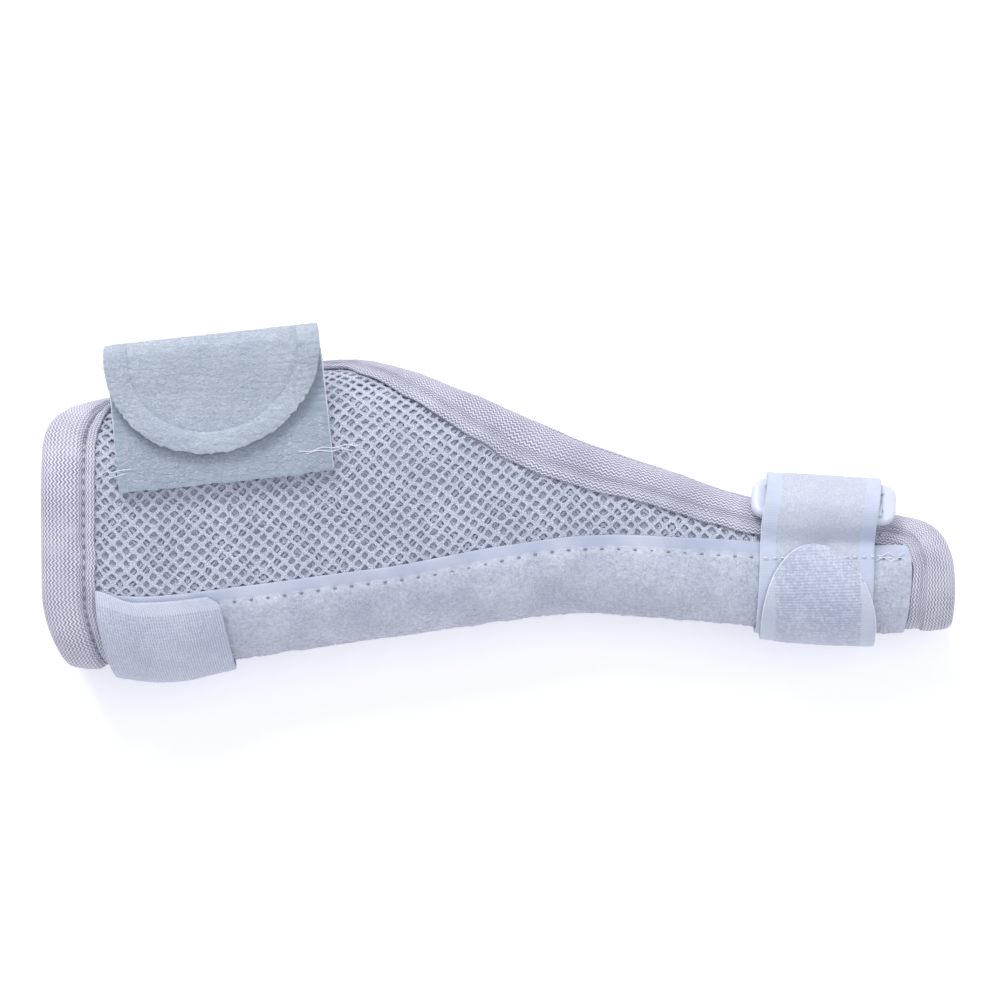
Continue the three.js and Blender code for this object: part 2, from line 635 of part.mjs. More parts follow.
// The loop-tape strap: round the spine over the plush strip, up to its seam, over both bars of the ring,
// round the far bar and back between the near bar and itself.
function thumbLoopStrap() {
  const ring = ringPlace();
  const rise = stackRise(1) + CLEARANCE + TAPE / 2;
  const wrap = RING_BAR / 2 + 2 * CLEARANCE + TAPE / 2;
  const layer = TAPE + CLEARANCE;
  const up = new THREE.Vector3(0, -Math.sin(RING_TILT), Math.cos(RING_TILT));
  const over = new THREE.Vector3(0, Math.cos(RING_TILT), Math.sin(RING_TILT));
  const rows = strapStations(4).map((c) => {
    const x = THUMB_STRAP_X + c;
    const drop = c * Math.tan(RING_TURN);
    const seam = stripFront(x);
    const row = steps(16).map((t) => onShell(x, lerp(backStart(x), seam, t), rise));
    const near = new THREE.Vector3(x, ring.nearY + drop, ring.nearZ);
    const far = near.clone().addScaledVector(over, ring.pitch);
    const aboveNear = near.clone().addScaledVector(up, wrap + layer);
    const left = row[row.length - 1];
    row.push(left.clone().lerp(aboveNear, 0.5).setZ(lerp(left.z, aboveNear.z, LOOP_SHOULDER)));
    row.push(aboveNear);
    row.push(near.clone().addScaledVector(up, wrap + LOOP_TOP * layer).addScaledVector(over, ring.pitch / 2));
    for (const t of steps(7)) {
      const angle = THREE.MathUtils.degToRad(LOOP_TURN.from - LOOP_TURN.by * t);
      const spot = far.clone().addScaledVector(over, wrap * Math.cos(angle));
      row.push(spot.addScaledVector(up, wrap * Math.sin(angle)));
    }
    for (const spot of LOOP_RETURN) {
      const back = near.clone().addScaledVector(over, ring.pitch * spot.over);
      row.push(back.addScaledVector(up, wrap * spot.up));
    }
    const tail = near.clone().addScaledVector(over, -RING_BAR * LOOP_TAIL.bars);
    row.push(tail.addScaledVector(up, wrap * LOOP_TAIL.up));
    return row.map(leanOver);
  });
  const acrossY = new THREE.Vector3(0, 1, 0);
  const outer = rows.map((row) => offsetRow(row, acrossY, TAPE / 2));
  const inner = rows.map((row) => offsetRow(row, acrossY, -TAPE / 2));
  return namedMesh("thumb_loop_strap", sheetGeometry(outer, inner), "hookTape");
}

// The hook-tape closure tab: from the back seam round the spine and up the front to a round tip.
function thumbClosureTab() {
  const rise = stackRise(2) + CLEARANCE;
  const grid = (height) =>
    bothSides(steps(4)).map((c) =>
      steps(22).map((t) => {
        const tip = stripFront(THUMB_STRAP_X) - CLOSURE_TIP_GAP;
        const crowded = lerp(t, Math.sin((t * Math.PI) / 2), CLOSURE_TIP_CROWDING);
        const s = lerp(backStart(THUMB_STRAP_X) - CLOSURE_OVERHANG, tip, crowded);
        const into = clamp((s - (tip - CLOSURE_TIP_LENGTH)) / CLOSURE_TIP_LENGTH, 0, 0.995);
        const aside = CLOSURE_SHIFT + Math.tan(CLOSURE_LEAN) * Math.max(s, 0);
        const x = THUMB_STRAP_X + aside + c * (THUMB_STRAP_WIDTH / 2) * Math.sqrt(1 - into * into);
        return leanOver(onShell(x, s, height));
      }),
    );
  return namedMesh("thumb_closure_tab", sheetGeometry(grid(rise + TAPE), grid(rise)), "hookTape");
}

const splint = new THREE.Group();
splint.add(
  meshShell(),
  forearmAndMouthBinding(),
  thumbEndBinding(),
  plushStrip(),
  hookFlap(),
  wristStrap(),
  thumbRing(),
  thumbLoopStrap(),
  thumbClosureTab(),
);

// The origin: the middle of the footprint, at the lowest point.
const box = new THREE.Box3().setFromObject(splint);
const middle = box.getCenter(new THREE.Vector3());
splint.position.set(-middle.x, -middle.y, -box.min.z);

export default splint;
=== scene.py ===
"""Thumb spica splint: the finished look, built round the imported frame.

The splint lies on its back panel. X runs from the forearm end to the thumb end, Y from the spine to the open
mouth and Z up. Lengths are millimetres inside the classes, and metres in every Blender mesh.
"""

import logging
import math
from dataclasses import dataclass, field
from enum import Enum
from typing import Callable

import bmesh
import bpy
import numpy as np
from mathutils import Matrix, Vector

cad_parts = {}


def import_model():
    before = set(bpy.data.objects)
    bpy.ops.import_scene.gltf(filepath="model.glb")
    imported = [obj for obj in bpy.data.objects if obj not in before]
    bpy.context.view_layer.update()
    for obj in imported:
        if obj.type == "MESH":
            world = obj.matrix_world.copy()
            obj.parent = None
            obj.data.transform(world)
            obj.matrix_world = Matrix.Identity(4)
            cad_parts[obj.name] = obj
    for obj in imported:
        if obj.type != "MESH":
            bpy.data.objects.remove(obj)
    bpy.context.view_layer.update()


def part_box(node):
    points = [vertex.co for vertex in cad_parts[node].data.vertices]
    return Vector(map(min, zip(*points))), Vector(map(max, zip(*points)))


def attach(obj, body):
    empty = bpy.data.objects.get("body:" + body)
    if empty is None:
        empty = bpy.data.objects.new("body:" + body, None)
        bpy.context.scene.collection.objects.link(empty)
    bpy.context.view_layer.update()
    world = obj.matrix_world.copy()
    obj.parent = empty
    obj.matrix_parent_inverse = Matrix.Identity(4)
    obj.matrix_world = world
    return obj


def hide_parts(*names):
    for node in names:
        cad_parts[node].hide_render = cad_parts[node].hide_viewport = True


LOG = logging.getLogger("splint")
MM = 0.001
BODY = "root"

Array = np.ndarray
Placer = Callable[[Array, Array], Array]
Cutter = Callable[[Array, Array], tuple[Array, Array]]
Tree = bpy.types.NodeTree
Socket = bpy.types.NodeSocket
Piece = bpy.types.Object


class Panel(Enum):
    """The two sides of the gutter, with the sign that their arc lengths have."""

    FRONT = 1
    BACK = -1


class End(Enum):
    """The two ends of the gutter."""

    FOREARM = "forearm"
    THUMB = "thumb"


def blend(low: float | Array, high: float | Array, share: float | Array) -> Array:
    """Mixes two values by a share from 0 to 1."""
    return low + (high - low) * share


def smoothstep(value: float | Array, low: float, high: float) -> Array:
    """Rises smoothly from 0 at `low` to 1 at `high`."""
    t = np.clip((np.asarray(value, float) - low) / (high - low), 0, 1)
    return t * t * (3 - 2 * t)


def ripple(x: Array, y: Array, seed: int, size: float) -> Array:
    """Gives soft, repeatable unevenness.

    Args:
        x: First coordinate, in millimetres.
        y: Second coordinate, in millimetres.
        seed: Picks one pattern.
        size: How far apart the swells lie, in millimetres.

    Returns:
        Values between about -1 and 1.
    """
    rng = np.random.default_rng(seed)
    total = np.zeros(np.broadcast(x, y).shape)
    waves = 7
    for _ in range(waves):
        angle, phase = rng.uniform(0, math.tau, 2)
        turn = math.tau / (size * rng.uniform(0.7, 1.9))
        total += np.sin(turn * (x * math.cos(angle) + y * math.sin(angle)) + phase)
    return total / math.sqrt(waves) / 1.4


@dataclass(frozen=True)
class Station:
    """One cross-section of the gutter, as shares of the wall's named sizes and as angles in degrees."""

    along: float
    rise: float
    height: float
    spine: float
    crown: float
    front: float
    back: float


@dataclass(frozen=True)
class Dent:
    """A soft hollow pressed into the front panel."""

    along: float
    round: float
    spread_x: float
    spread_s: float
    depth: float


@dataclass
class Section:
    """The cross-sections at an array of places along the wall."""

    spine: Array
    crown: Array
    straight: Array
    lean: Array
    spine_arc: Array
    between: Array
    centre_y: Array
    centre_z: Array
    to_crown: Array
    front: Array
    back: Array


@dataclass
class Wall:
    """The gutter's wall: where a place (x along it, s round it, rise off it) lies in the frame.

    Attributes:
        length: From the forearm end to the thumb end.
        forearm_height, thumb_height: Across the gutter, from spine to crown.
        spine_radius, crown_radius: Of the section's two bends.
        spine_bow: How far the spine's line swings in Y.
        wall: Thickness of the padded mesh.
        tape: Thickness of a strap.
        clearance: Air under each strap.
        binding_rise: How far the bindings stand off the wall.
        binding_forearm, binding_thumb: Widths of the binding at the two ends.
        binding_tip: How far it reaches past the wall's edge.
        binding_gap: Between it and what lies beside it.
        strip_width: Of the plush strip.
        strip_front_forearm, strip_front_thumb: Arc lengths of its front edge at the two ends.
        corners: At each end, the size of the rounded corners along x and s, and the spine's setback.
        offset: Where the wall's own origin lies in the frame.
    """

    length: float = 210.6
    forearm_height: float = 65.0
    thumb_height: float = 25.0
    spine_radius: float = 19.0
    crown_radius: float = 20.5
    spine_bow: float = 13.0
    wall: float = 3.0
    tape: float = 1.2
    clearance: float = 0.35
    binding_rise: float = 1.9
    binding_forearm: float = 12.8
    binding_thumb: float = 10.6
    binding_tip: float = 2.2
    binding_gap: float = 0.15
    strip_width: float = 47.5
    strip_front_forearm: float = 28.5
    strip_front_thumb: float = 26.0
    corners: dict[End, tuple[float, float, float]] = field(
        default_factory=lambda: {End.FOREARM: (12.0, 16.0, 3.8), End.THUMB: (12.5, 16.5, 1.2)}
    )
    offset: tuple[float, float] = (0.0, 0.0)
    stations: tuple[Station, ...] = (
        Station(0.0, 0.09, 0.83, 0.95, 0.88, 4, 22),
        Station(0.107, 0.0, 0.935, 1.0, 0.95, 3, 22),
        Station(0.22, 0.22, 0.983, 1.0, 1.0, 0, 22),
        Station(0.332, 0.49, 0.967, 1.0, 1.0, -2, 23),
        Station(0.388, 0.61, 0.885, 0.97, 0.97, 6, 24),
        Station(0.444, 0.74, 0.762, 0.92, 0.88, 17, 26),
        Station(0.5, 0.87, 0.637, 0.8, 0.72, 30, 32),
        Station(0.557, 0.97, 0.495, 0.64, 0.55, 41, 38),
        Station(0.612, 1.0, 0.362, 0.5, 0.44, 40, 38),
        Station(0.669, 0.94, 0.267, 0.37, 0.33, 35, 34),
        Station(0.781, 0.785, 0.082, 0.16, 0.14, 24, 24),
        Station(0.894, 0.646, 0.022, 0.04, 0.03, 18, 19),
        Station(1.0, 0.68, 0.0, 0.0, 0.0, 18, 19),
    )
    dents: tuple[Dent, ...] = (
        Dent(0.57, 0.24, 0.045, 0.16, 0.45),
        Dent(0.45, 0.62, 0.11, 0.2, 0.4),
        Dent(0.2, 0.5, 0.1, 0.16, 0.25),
    )

    def column(self, name: str, along: Array) -> Array:
        """Follows one column of the stations with a smooth curve.

        Args:
            name: The column.
            along: Places along the wall, from 0 to 1.

        Returns:
            The column's value at each place.
        """
        at = np.array([s.along for s in self.stations])
        value = np.array([getattr(s, name) for s in self.stations])
        last = len(at) - 1
        before = np.maximum(np.arange(last + 1) - 1, 0)
        after = np.minimum(np.arange(last + 1) + 1, last)
        slope = (value[after] - value[before]) / (at[after] - at[before])
        along = np.clip(along, 0, 1)
        i = np.clip(np.searchsorted(at, along, side="left") - 1, 0, last - 1)
        span = at[i + 1] - at[i]
        t = (along - at[i]) / span
        return (
            (2 * t**3 - 3 * t**2 + 1) * value[i]
            + (t**3 - 2 * t**2 + t) * span * slope[i]
            + (3 * t**2 - 2 * t**3) * value[i + 1]
            + (t**3 - t**2) * span * slope[i + 1]
        )

    def stack(self, tapes: int) -> float:
        """Gives the height of a stack of tapes, each with its clearance."""
        return tapes * (self.tape + self.clearance)

    def back_height(self, x: Array) -> Array:
        """Says how high the back panel lies off the floor at x."""
        along = x / self.length
        return (
            self.binding_rise * (1 - smoothstep(along, 0.065, 0.26))
            + self.stack(1) * smoothstep(along, 0.4, 0.55)
            + self.stack(2) * smoothstep(along, 0.58, 0.77)
        )

    def section(self, x: Array) -> Section:
        """Works out the cross-sections at x.

        Args:
            x: Places along the wall, in millimetres.

        Returns:
            The sections there.
        """
        x = np.asarray(x, float)
        along = x / self.length
        thumb_radius = self.thumb_height / 2 - 0.2
        height = blend(self.thumb_height, self.forearm_height, self.column("height", along))
        spine = blend(thumb_radius, self.spine_radius, self.column("spine", along))
        crown = blend(thumb_radius, self.crown_radius, self.column("crown", along))
        straight = np.maximum(height - spine - crown, 0)
        lean = np.arctan2(crown - spine, np.maximum(straight, 1e-6))
        spine_arc = spine * (math.pi / 2 - lean)
        turn = math.pi / 2 + lean
        return Section(
            spine,
            crown,
            straight,
            lean,
            spine_arc,
            np.hypot(straight, crown - spine),
            self.spine_bow * self.column("rise", along) + spine,
            self.back_height(x) + spine,
            spine_arc + straight + crown * turn,
            spine_arc + straight + crown * (turn - np.radians(self.column("front", along))),
            spine_arc + straight + crown * (turn - np.radians(self.column("back", along))),
        )

    def dent_depth(self, x: Array, s: Array, front: Array) -> Array:
        """Says how deep the front panel is pressed in.

        Args:
            x: Along the wall, in millimetres.
            s: Arc length from the spine.
            front: Arc length of the front mouth edge there.

        Returns:
            The depths, in millimetres.
        """
        depth = np.zeros(np.broadcast(x, s).shape)
        for dent in self.dents:
            dx = (x / self.length - dent.along) / dent.spread_x
            ds = (s / front - dent.round) / dent.spread_s
            depth += self.wall * dent.depth * np.exp(-(dx**2) - ds**2)
        return depth

    def point(self, x: Array, s: Array, rise: Array) -> Array:
        """Finds places on the wall.

        Args:
            x: Along the wall, in millimetres.
            s: Arc length round the section from the spine, positive on the front panel.
            rise: Height above the wall's outer face.

        Returns:
            Points in the frame, in metres, one row each.
        """
        x, s, rise = np.broadcast_arrays(*(np.asarray(v, float) for v in (x, s, rise)))
        q = self.section(x)
        t = np.abs(s)
        lift = rise - self.dent_depth(x, s, q.front)
        square = math.pi / 2 + q.lean
        run = t - q.spine_arc
        first = math.pi - t / q.spine
        last = square - (run - q.straight) / q.crown
        on_spine, on_straight = t <= q.spine_arc, t <= q.spine_arc + q.straight
        u = np.where(
            on_spine,
            (q.spine + lift) * np.cos(first),
            np.where(
                on_straight,
                (q.spine + lift) * np.cos(square) + run * np.cos(q.lean),
                q.between + (q.crown + lift) * np.cos(last),
            ),
        )
        v = np.where(
            on_spine,
            (q.spine + lift) * np.sin(first),
            np.where(
                on_straight,
                (q.spine + lift) * np.sin(square) + run * np.sin(q.lean),
                (q.crown + lift) * np.sin(last),
            ),
        )
        v = np.where(s < 0, -v, v)
        y = q.centre_y + u * np.cos(q.lean) - v * np.sin(q.lean)
        z = q.centre_z + u * np.sin(q.lean) + v * np.cos(q.lean)
        return np.stack([x + self.offset[0], y + self.offset[1], z], -1) * MM

    def arc_at(self, x: Array, share: Array) -> Array:
        """Gives the arc length of a share of a panel: 1 at the front mouth edge, -1 at the back one."""
        q = self.section(x)
        return share * np.where(np.asarray(share) < 0, q.back, q.front)

    def end_inset(self, share: Array, end: End) -> Array:
        """Says how far the wall's end lies in from its furthest point.

        Args:
            share: Of the front panel's arc, or of the back one's below 0.
            end: Which end.

        Returns:
            The insets, in millimetres.
        """
        along_x, along_s, setback = self.corners[end]
        at = 0.0 if end is End.FOREARM else self.length
        side = np.where(np.asarray(share) < 0, -1.0, 1.0)
        s = np.abs(self.arc_at(at, share))
        edge = np.abs(self.arc_at(at, side))
        reach = self.spine_radius * 1.5
        spine = np.where(s < reach, setback / 2 * (1 + np.cos(math.pi * s / reach)), 0)
        into = np.clip((s - (edge - along_s)) / along_s, 0, 1)
        return spine + along_x * (1 - np.sqrt(1 - into * into))

    def end_x(self, share: Array, end: End) -> Array:
        """Gives the x of the wall's end line at a share of the panel."""
        inset = self.end_inset(share, end)
        return inset if end is End.FOREARM else self.length - inset

    def strip_front(self, x: Array) -> Array:
        """Gives the arc length of the plush strip's front edge at x."""
        return blend(self.strip_front_forearm, self.strip_front_thumb, np.clip(x / self.length, 0, 1))

    def strip_back(self, x: Array) -> Array:
        """Gives the arc length of the plush strip's back edge at x."""
        return self.strip_front(x) - self.strip_width

    def share_at(self, x: float, s: Array) -> Array:
        """Turns an arc length at x into a share of its panel."""
        q = self.section(x)
        return s / np.where(np.asarray(s) < 0, q.back, q.front)

    def binding_rim(self, s: Array, end: End) -> Array:
        """Gives the x just inside an end's binding, where the strip and the flap start."""
        if end is End.FOREARM:
            width = self.binding_forearm - self.binding_tip + self.binding_gap
            return self.end_x(self.share_at(0.0, s), end) + width
        width = self.binding_thumb - self.binding_tip + self.binding_gap
        return self.end_x(self.share_at(self.length, s), end) - width

    def front_height(self, x: Array, y: Array, rise: float) -> Array:
        """Finds the height of the front panel under points of the plan.

        Args:
            x: Along the wall, in the wall's own millimetres.
            y: Across it, in the wall's own millimetres.
            rise: Height above the wall's outer face.

        Returns:
            Heights above the floor, in millimetres.
        """
        x, y = np.broadcast_arrays(np.asarray(x, float), np.asarray(y, float))
        low = np.zeros(x.shape)
        high = self.section(x).to_crown.copy()
        for _ in range(36):
            middle = (low + high) / 2
            below = self.point(x, middle, rise)[..., 1] / MM - self.offset[1] < y
            low = np.where(below, middle, low)
            high = np.where(below, high, middle)
        return self.point(x, (low + high) / 2, rise)[..., 2] / MM

    def settle(self, low: Vector, steps: int = 24) -> None:
        """Finds where the wall's own origin lies in the frame.

        Args:
            low: The lowest corner of the wall's solid, in metres.
            steps: How many stretches the solid's spine has.
        """
        u = np.arange(steps + 1) / steps
        x = blend(self.end_x(0.0, End.FOREARM), self.end_x(0.0, End.THUMB), u)
        lowest = self.point(x, 0.0, 0.0)[:, 1].min() / MM
        self.offset = (low.x / MM, low.y / MM - lowest)


def linear(code: str) -> tuple[float, float, float, float]:
    """Turns an sRGB hex value such as "b0b9cb" into a linear colour."""
    parts = [int(code[i : i + 2], 16) / 255 for i in (0, 2, 4)]
    values = [c / 12.92 if c <= 0.04045 else ((c + 0.055) / 1.055) ** 2.4 for c in parts]
    return (values[0], values[1], values[2], 1.0)


def add_node(tree: Tree, kind: str, settings: dict, inputs: dict) -> bpy.types.Node:
    """Adds a node with its settings and links.

    Args:
        tree: The material's tree.
        kind: The node's type, without "ShaderNode".
        settings: Properties of the node.
        inputs: Values or sockets for its inputs, by name or number.

    Returns:
        The new node.
    """
    made = tree.nodes.new("ShaderNode" + kind)
    for name, value in settings.items():
        setattr(made, name, value)
    for name, value in inputs.items():
        if isinstance(value, Socket):
            tree.links.new(value, made.inputs[name])
        else:
            made.inputs[name].default_value = value
    return made


@dataclass(frozen=True)
class Finish:
    """A finish: its name, two colours that its pattern runs between, and its surface.

    The UV maps are in millimetres, so a noise's scale counts its cells in one millimetre.

    Attributes:
        name: What the real material is.
        dark, light: The colours in the pattern's hollows and on its crests, as sRGB hex.
        roughness: Of the surface.
        sheen: How much pale fuzz shows at a slant.
        bump: Depth of the pattern, in millimetres.
        subsurface: How much light passes through.
        coat: Strength of a clear gloss.
        drift: How far the colour wanders over a few centimetres.
    """

    name: str
    dark: str
    light: str
    roughness: float = 0.85
    sheen: float = 0.0
    bump: float = 0.15
    subsurface: float = 0.0
    coat: float = 0.0
    drift: float = 0.1

    def wave(self, tree: Tree, along: Socket, pitch: float) -> Socket:
        """Draws a smooth wave from -1 to 1, whose crests lie `pitch` millimetres apart."""
        turns = add_node(tree, "Math", {"operation": "MULTIPLY"}, {0: along, 1: math.tau / pitch})
        return add_node(tree, "Math", {"operation": "SINE"}, {0: turns.outputs[0]}).outputs[0]

    def inside(self, tree: Tree, across: Socket, width: float, edge: float) -> Socket:
        """Tells the middle of a tape from a band along both its sides.

        Args:
            tree: The material's tree.
            across: Millimetres across the tape.
            width: Of the tape.
            edge: Of each band.

        Returns:
            A socket with 1 in the middle and 0 in the bands.
        """
        near = add_node(tree, "Math", {"operation": "PINGPONG"}, {0: across, 1: width / 2})
        limits = {"Value": near.outputs[0], "From Min": edge - 0.25, "From Max": edge + 0.25}
        return add_node(tree, "MapRange", {"interpolation_type": "SMOOTHSTEP"}, limits).outputs[0]

    def between(self, tree: Tree, share: Socket | float, low: Socket, high: Socket) -> Socket:
        """Mixes two patterns by a share."""
        return add_node(tree, "Mix", {"data_type": "FLOAT"}, {"Factor": share, 2: low, 3: high}).outputs[0]

    def pattern(self, tree: Tree, u: Socket, v: Socket, flat: Socket) -> Socket:
        """Draws the finish's pattern.

        Args:
            tree: The material's tree.
            u: Millimetres along the piece.
            v: Millimetres across it.
            flat: Both as one vector.

        Returns:
            A socket from 0 in the hollows to 1 on the crests.
        """
        grain = add_node(tree, "TexNoise", {}, {"Vector": flat, "Scale": 1.5, "Detail": 4.0})
        return grain.outputs["Fac"]

    def material(self) -> bpy.types.Material:
        """Builds the finish as a Blender material.

        Returns:
            The material, whose pattern follows the piece's own UV map in millimetres.
        """
        made = bpy.data.materials.new(self.name)
        made.use_nodes = True
        tree = made.node_tree
        tree.nodes.clear()
        uv = add_node(tree, "UVMap", {"uv_map": "flat"}, {})
        split = add_node(tree, "SeparateXYZ", {}, {"Vector": uv.outputs["UV"]})
        relief = self.pattern(tree, split.outputs["X"], split.outputs["Y"], uv.outputs["UV"])
        wander = add_node(tree, "TexNoise", {}, {"Vector": uv.outputs["UV"], "Scale": 0.09, "Detail": 2.0})
        limits = {"From Min": 0.3, "From Max": 0.7, "To Min": -self.drift, "To Max": self.drift}
        shade = add_node(tree, "MapRange", {}, {"Value": wander.outputs["Fac"], **limits})
        # Painted shade: stretches of a piece that are drawn darker than the rest, such as a strap's lower
        # layer in the shade of its tab, carry an attribute named shade
        unevenness_and_painted_shade = add_node(tree, "Attribute", {"attribute_name": "shade"}, {})
        local = {0: shade.outputs[0], 1: unevenness_and_painted_shade.outputs["Fac"]}
        tone = add_node(tree, "Math", {"operation": "SUBTRACT"}, local)
        both = {0: relief, 1: tone.outputs[0]}
        level = add_node(tree, "Math", {"operation": "ADD", "use_clamp": True}, both)
        ends = {"Factor": level.outputs[0], 6: linear(self.dark), 7: linear(self.light)}
        colour = add_node(tree, "Mix", {"data_type": "RGBA"}, ends)
        bump = add_node(tree, "Bump", {}, {"Height": relief, "Distance": self.bump * MM, "Strength": 1.0})
        skin = {
            "Base Color": colour.outputs[2],
            "Roughness": self.roughness,
            "Sheen Weight": self.sheen,
            "Sheen Roughness": 0.6,
            "Subsurface Weight": self.subsurface,
            "Subsurface Scale": 0.002,
            "Coat Weight": self.coat,
            "Normal": bump.outputs["Normal"],
        }
        surface = add_node(tree, "BsdfPrincipled", {}, skin)
        add_node(tree, "OutputMaterial", {}, {"Surface": surface.outputs["BSDF"]})
        return made


@dataclass(frozen=True)
class ZigzagKnit(Finish):
    """Polyester binding tape, warp-knitted in close zigzag ribs.

    Attributes:
        rib: From rib to rib. Such tape has them 0.6 mm apart, and they are drawn wider so that they show.
        period: From one turn of the zigzag to the next.
        swing: How far a rib goes from side to side.
    """

    rib: float = 0.8
    period: float = 1.2
    swing: float = 0.5

    def pattern(self, tree: Tree, u: Socket, v: Socket, flat: Socket) -> Socket:
        """Draws ribs that run along the tape and zigzag across it, fuller in some places than in others."""
        fold = add_node(tree, "Math", {"operation": "PINGPONG"}, {0: u, 1: self.period / 2})
        slope = {0: fold.outputs[0], 1: self.swing / (self.period / 2), 2: v}
        side = add_node(tree, "Math", {"operation": "MULTIPLY_ADD"}, slope)
        ribs = self.wave(tree, side.outputs[0], self.rib)
        unevenness_and_painted_shade = add_node(tree, "TexNoise", {}, {"Vector": flat, "Scale": 0.22, "Detail": 2.0})
        limits = {"From Min": 0.35, "From Max": 0.65, "To Min": 0.31, "To Max": 0.56}
        full = add_node(tree, "MapRange", {}, {"Value": unevenness_and_painted_shade.outputs["Fac"], **limits})
        fibre = add_node(tree, "TexNoise", {}, {"Vector": flat, "Scale": 3.2, "Detail": 3.0})
        fine = {0: fibre.outputs["Fac"], 1: 0.8, 2: 0.08}
        rough = add_node(tree, "Math", {"operation": "MULTIPLY_ADD"}, fine)
        knit = {0: ribs, 1: full.outputs[0], 2: rough.outputs[0]}
        return add_node(tree, "Math", {"operation": "MULTIPLY_ADD", "use_clamp": True}, knit).outputs[0]


@dataclass(frozen=True)
class Yarn(Finish):
    """Spun polyester yarn, whose single filaments catch the light."""

    # A filament is finer than a pixel, so the glints stand for bundles of about 0.3 mm.
    glint: float = 3.2

    def pattern(self, tree: Tree, u: Socket, v: Socket, flat: Socket) -> Socket:
        """Draws fine, uneven glints."""
        spun = add_node(tree, "TexNoise", {}, {"Vector": flat, "Scale": self.glint, "Detail": 3.0})
        limits = {"From Min": 0.36, "From Max": 0.66}
        return add_node(tree, "MapRange", {}, {"Value": spun.outputs["Fac"], **limits}).outputs[0]


@dataclass(frozen=True)
class Lining(Finish):
    """Brushed jersey lining: fine ribs under a soft nap."""

    # Jersey of this weight has its ribs a little under 1 mm apart.
    rib: float = 0.95

    def pattern(self, tree: Tree, u: Socket, v: Socket, flat: Socket) -> Socket:
        """Draws the ribs of the jersey through its nap."""
        ribs = self.wave(tree, v, self.rib)
        nap = add_node(tree, "TexNoise", {}, {"Vector": flat, "Scale": 1.6, "Detail": 5.0, "Roughness": 0.7})
        knit = {0: ribs, 1: 0.13, 2: nap.outputs["Fac"]}
        return add_node(tree, "Math", {"operation": "MULTIPLY_ADD", "use_clamp": True}, knit).outputs[0]


@dataclass(frozen=True)
class Pile(Finish):
    """Brushed loop pile, whose fibres lie in soft clumps, with a ribbed selvedge where it has a width.

    Attributes:
        clump: Size of a clump of loops. A single loop is finer than a pixel.
        nap: How much the clumps are drawn out along the nap.
        speckle: Share of the pattern that single bright curls have.
        width: Of the tape, where it has a selvedge.
        selvedge: Width of the ribbed band along each side, or 0.
        rib: From rib to rib of the selvedge.
        rib_depth: Strength of those ribs.
        plain: Their mean level.
    """

    clump: float = 0.9
    nap: float = 1.0
    speckle: float = 0.35
    width: float = 0.0
    selvedge: float = 0.0
    rib: float = 0.55
    rib_depth: float = 0.12
    plain: float = 0.55

    def pattern(self, tree: Tree, u: Socket, v: Socket, flat: Socket) -> Socket:
        """Draws clumps of fibre drawn out along the nap, with single bright fibres between."""
        laid = add_node(tree, "Mapping", {}, {"Vector": flat, "Scale": (1.0, self.nap, 1.0)})
        clumps = {"Vector": laid.outputs[0], "Scale": 1 / self.clump, "Detail": 5.0, "Roughness": 0.75}
        soft = add_node(tree, "TexNoise", {}, clumps)
        curls = {"Vector": laid.outputs[0], "Scale": 2.4, "Detail": 3.0, "Distortion": 2.5}
        curl = add_node(tree, "TexNoise", {}, curls)
        limits = {"From Min": 0.3, "From Max": 0.7, "To Max": 1.0 - self.speckle}
        wide = add_node(tree, "MapRange", {}, {"Value": soft.outputs["Fac"], **limits})
        limits = {"From Min": 0.42, "From Max": 0.72, "To Max": self.speckle}
        bright = add_node(tree, "MapRange", {}, {"Value": curl.outputs["Fac"], **limits})
        parts = {0: wide.outputs[0], 1: bright.outputs[0]}
        pile = add_node(tree, "Math", {"operation": "ADD", "use_clamp": True}, parts).outputs[0]
        if not self.selvedge:
            return pile
        ribs = {0: self.wave(tree, u, self.rib), 1: self.rib_depth, 2: self.plain}
        plain = add_node(tree, "Math", {"operation": "MULTIPLY_ADD"}, ribs)
        return self.between(tree, self.inside(tree, v, self.width, self.selvedge), plain.outputs[0], pile)


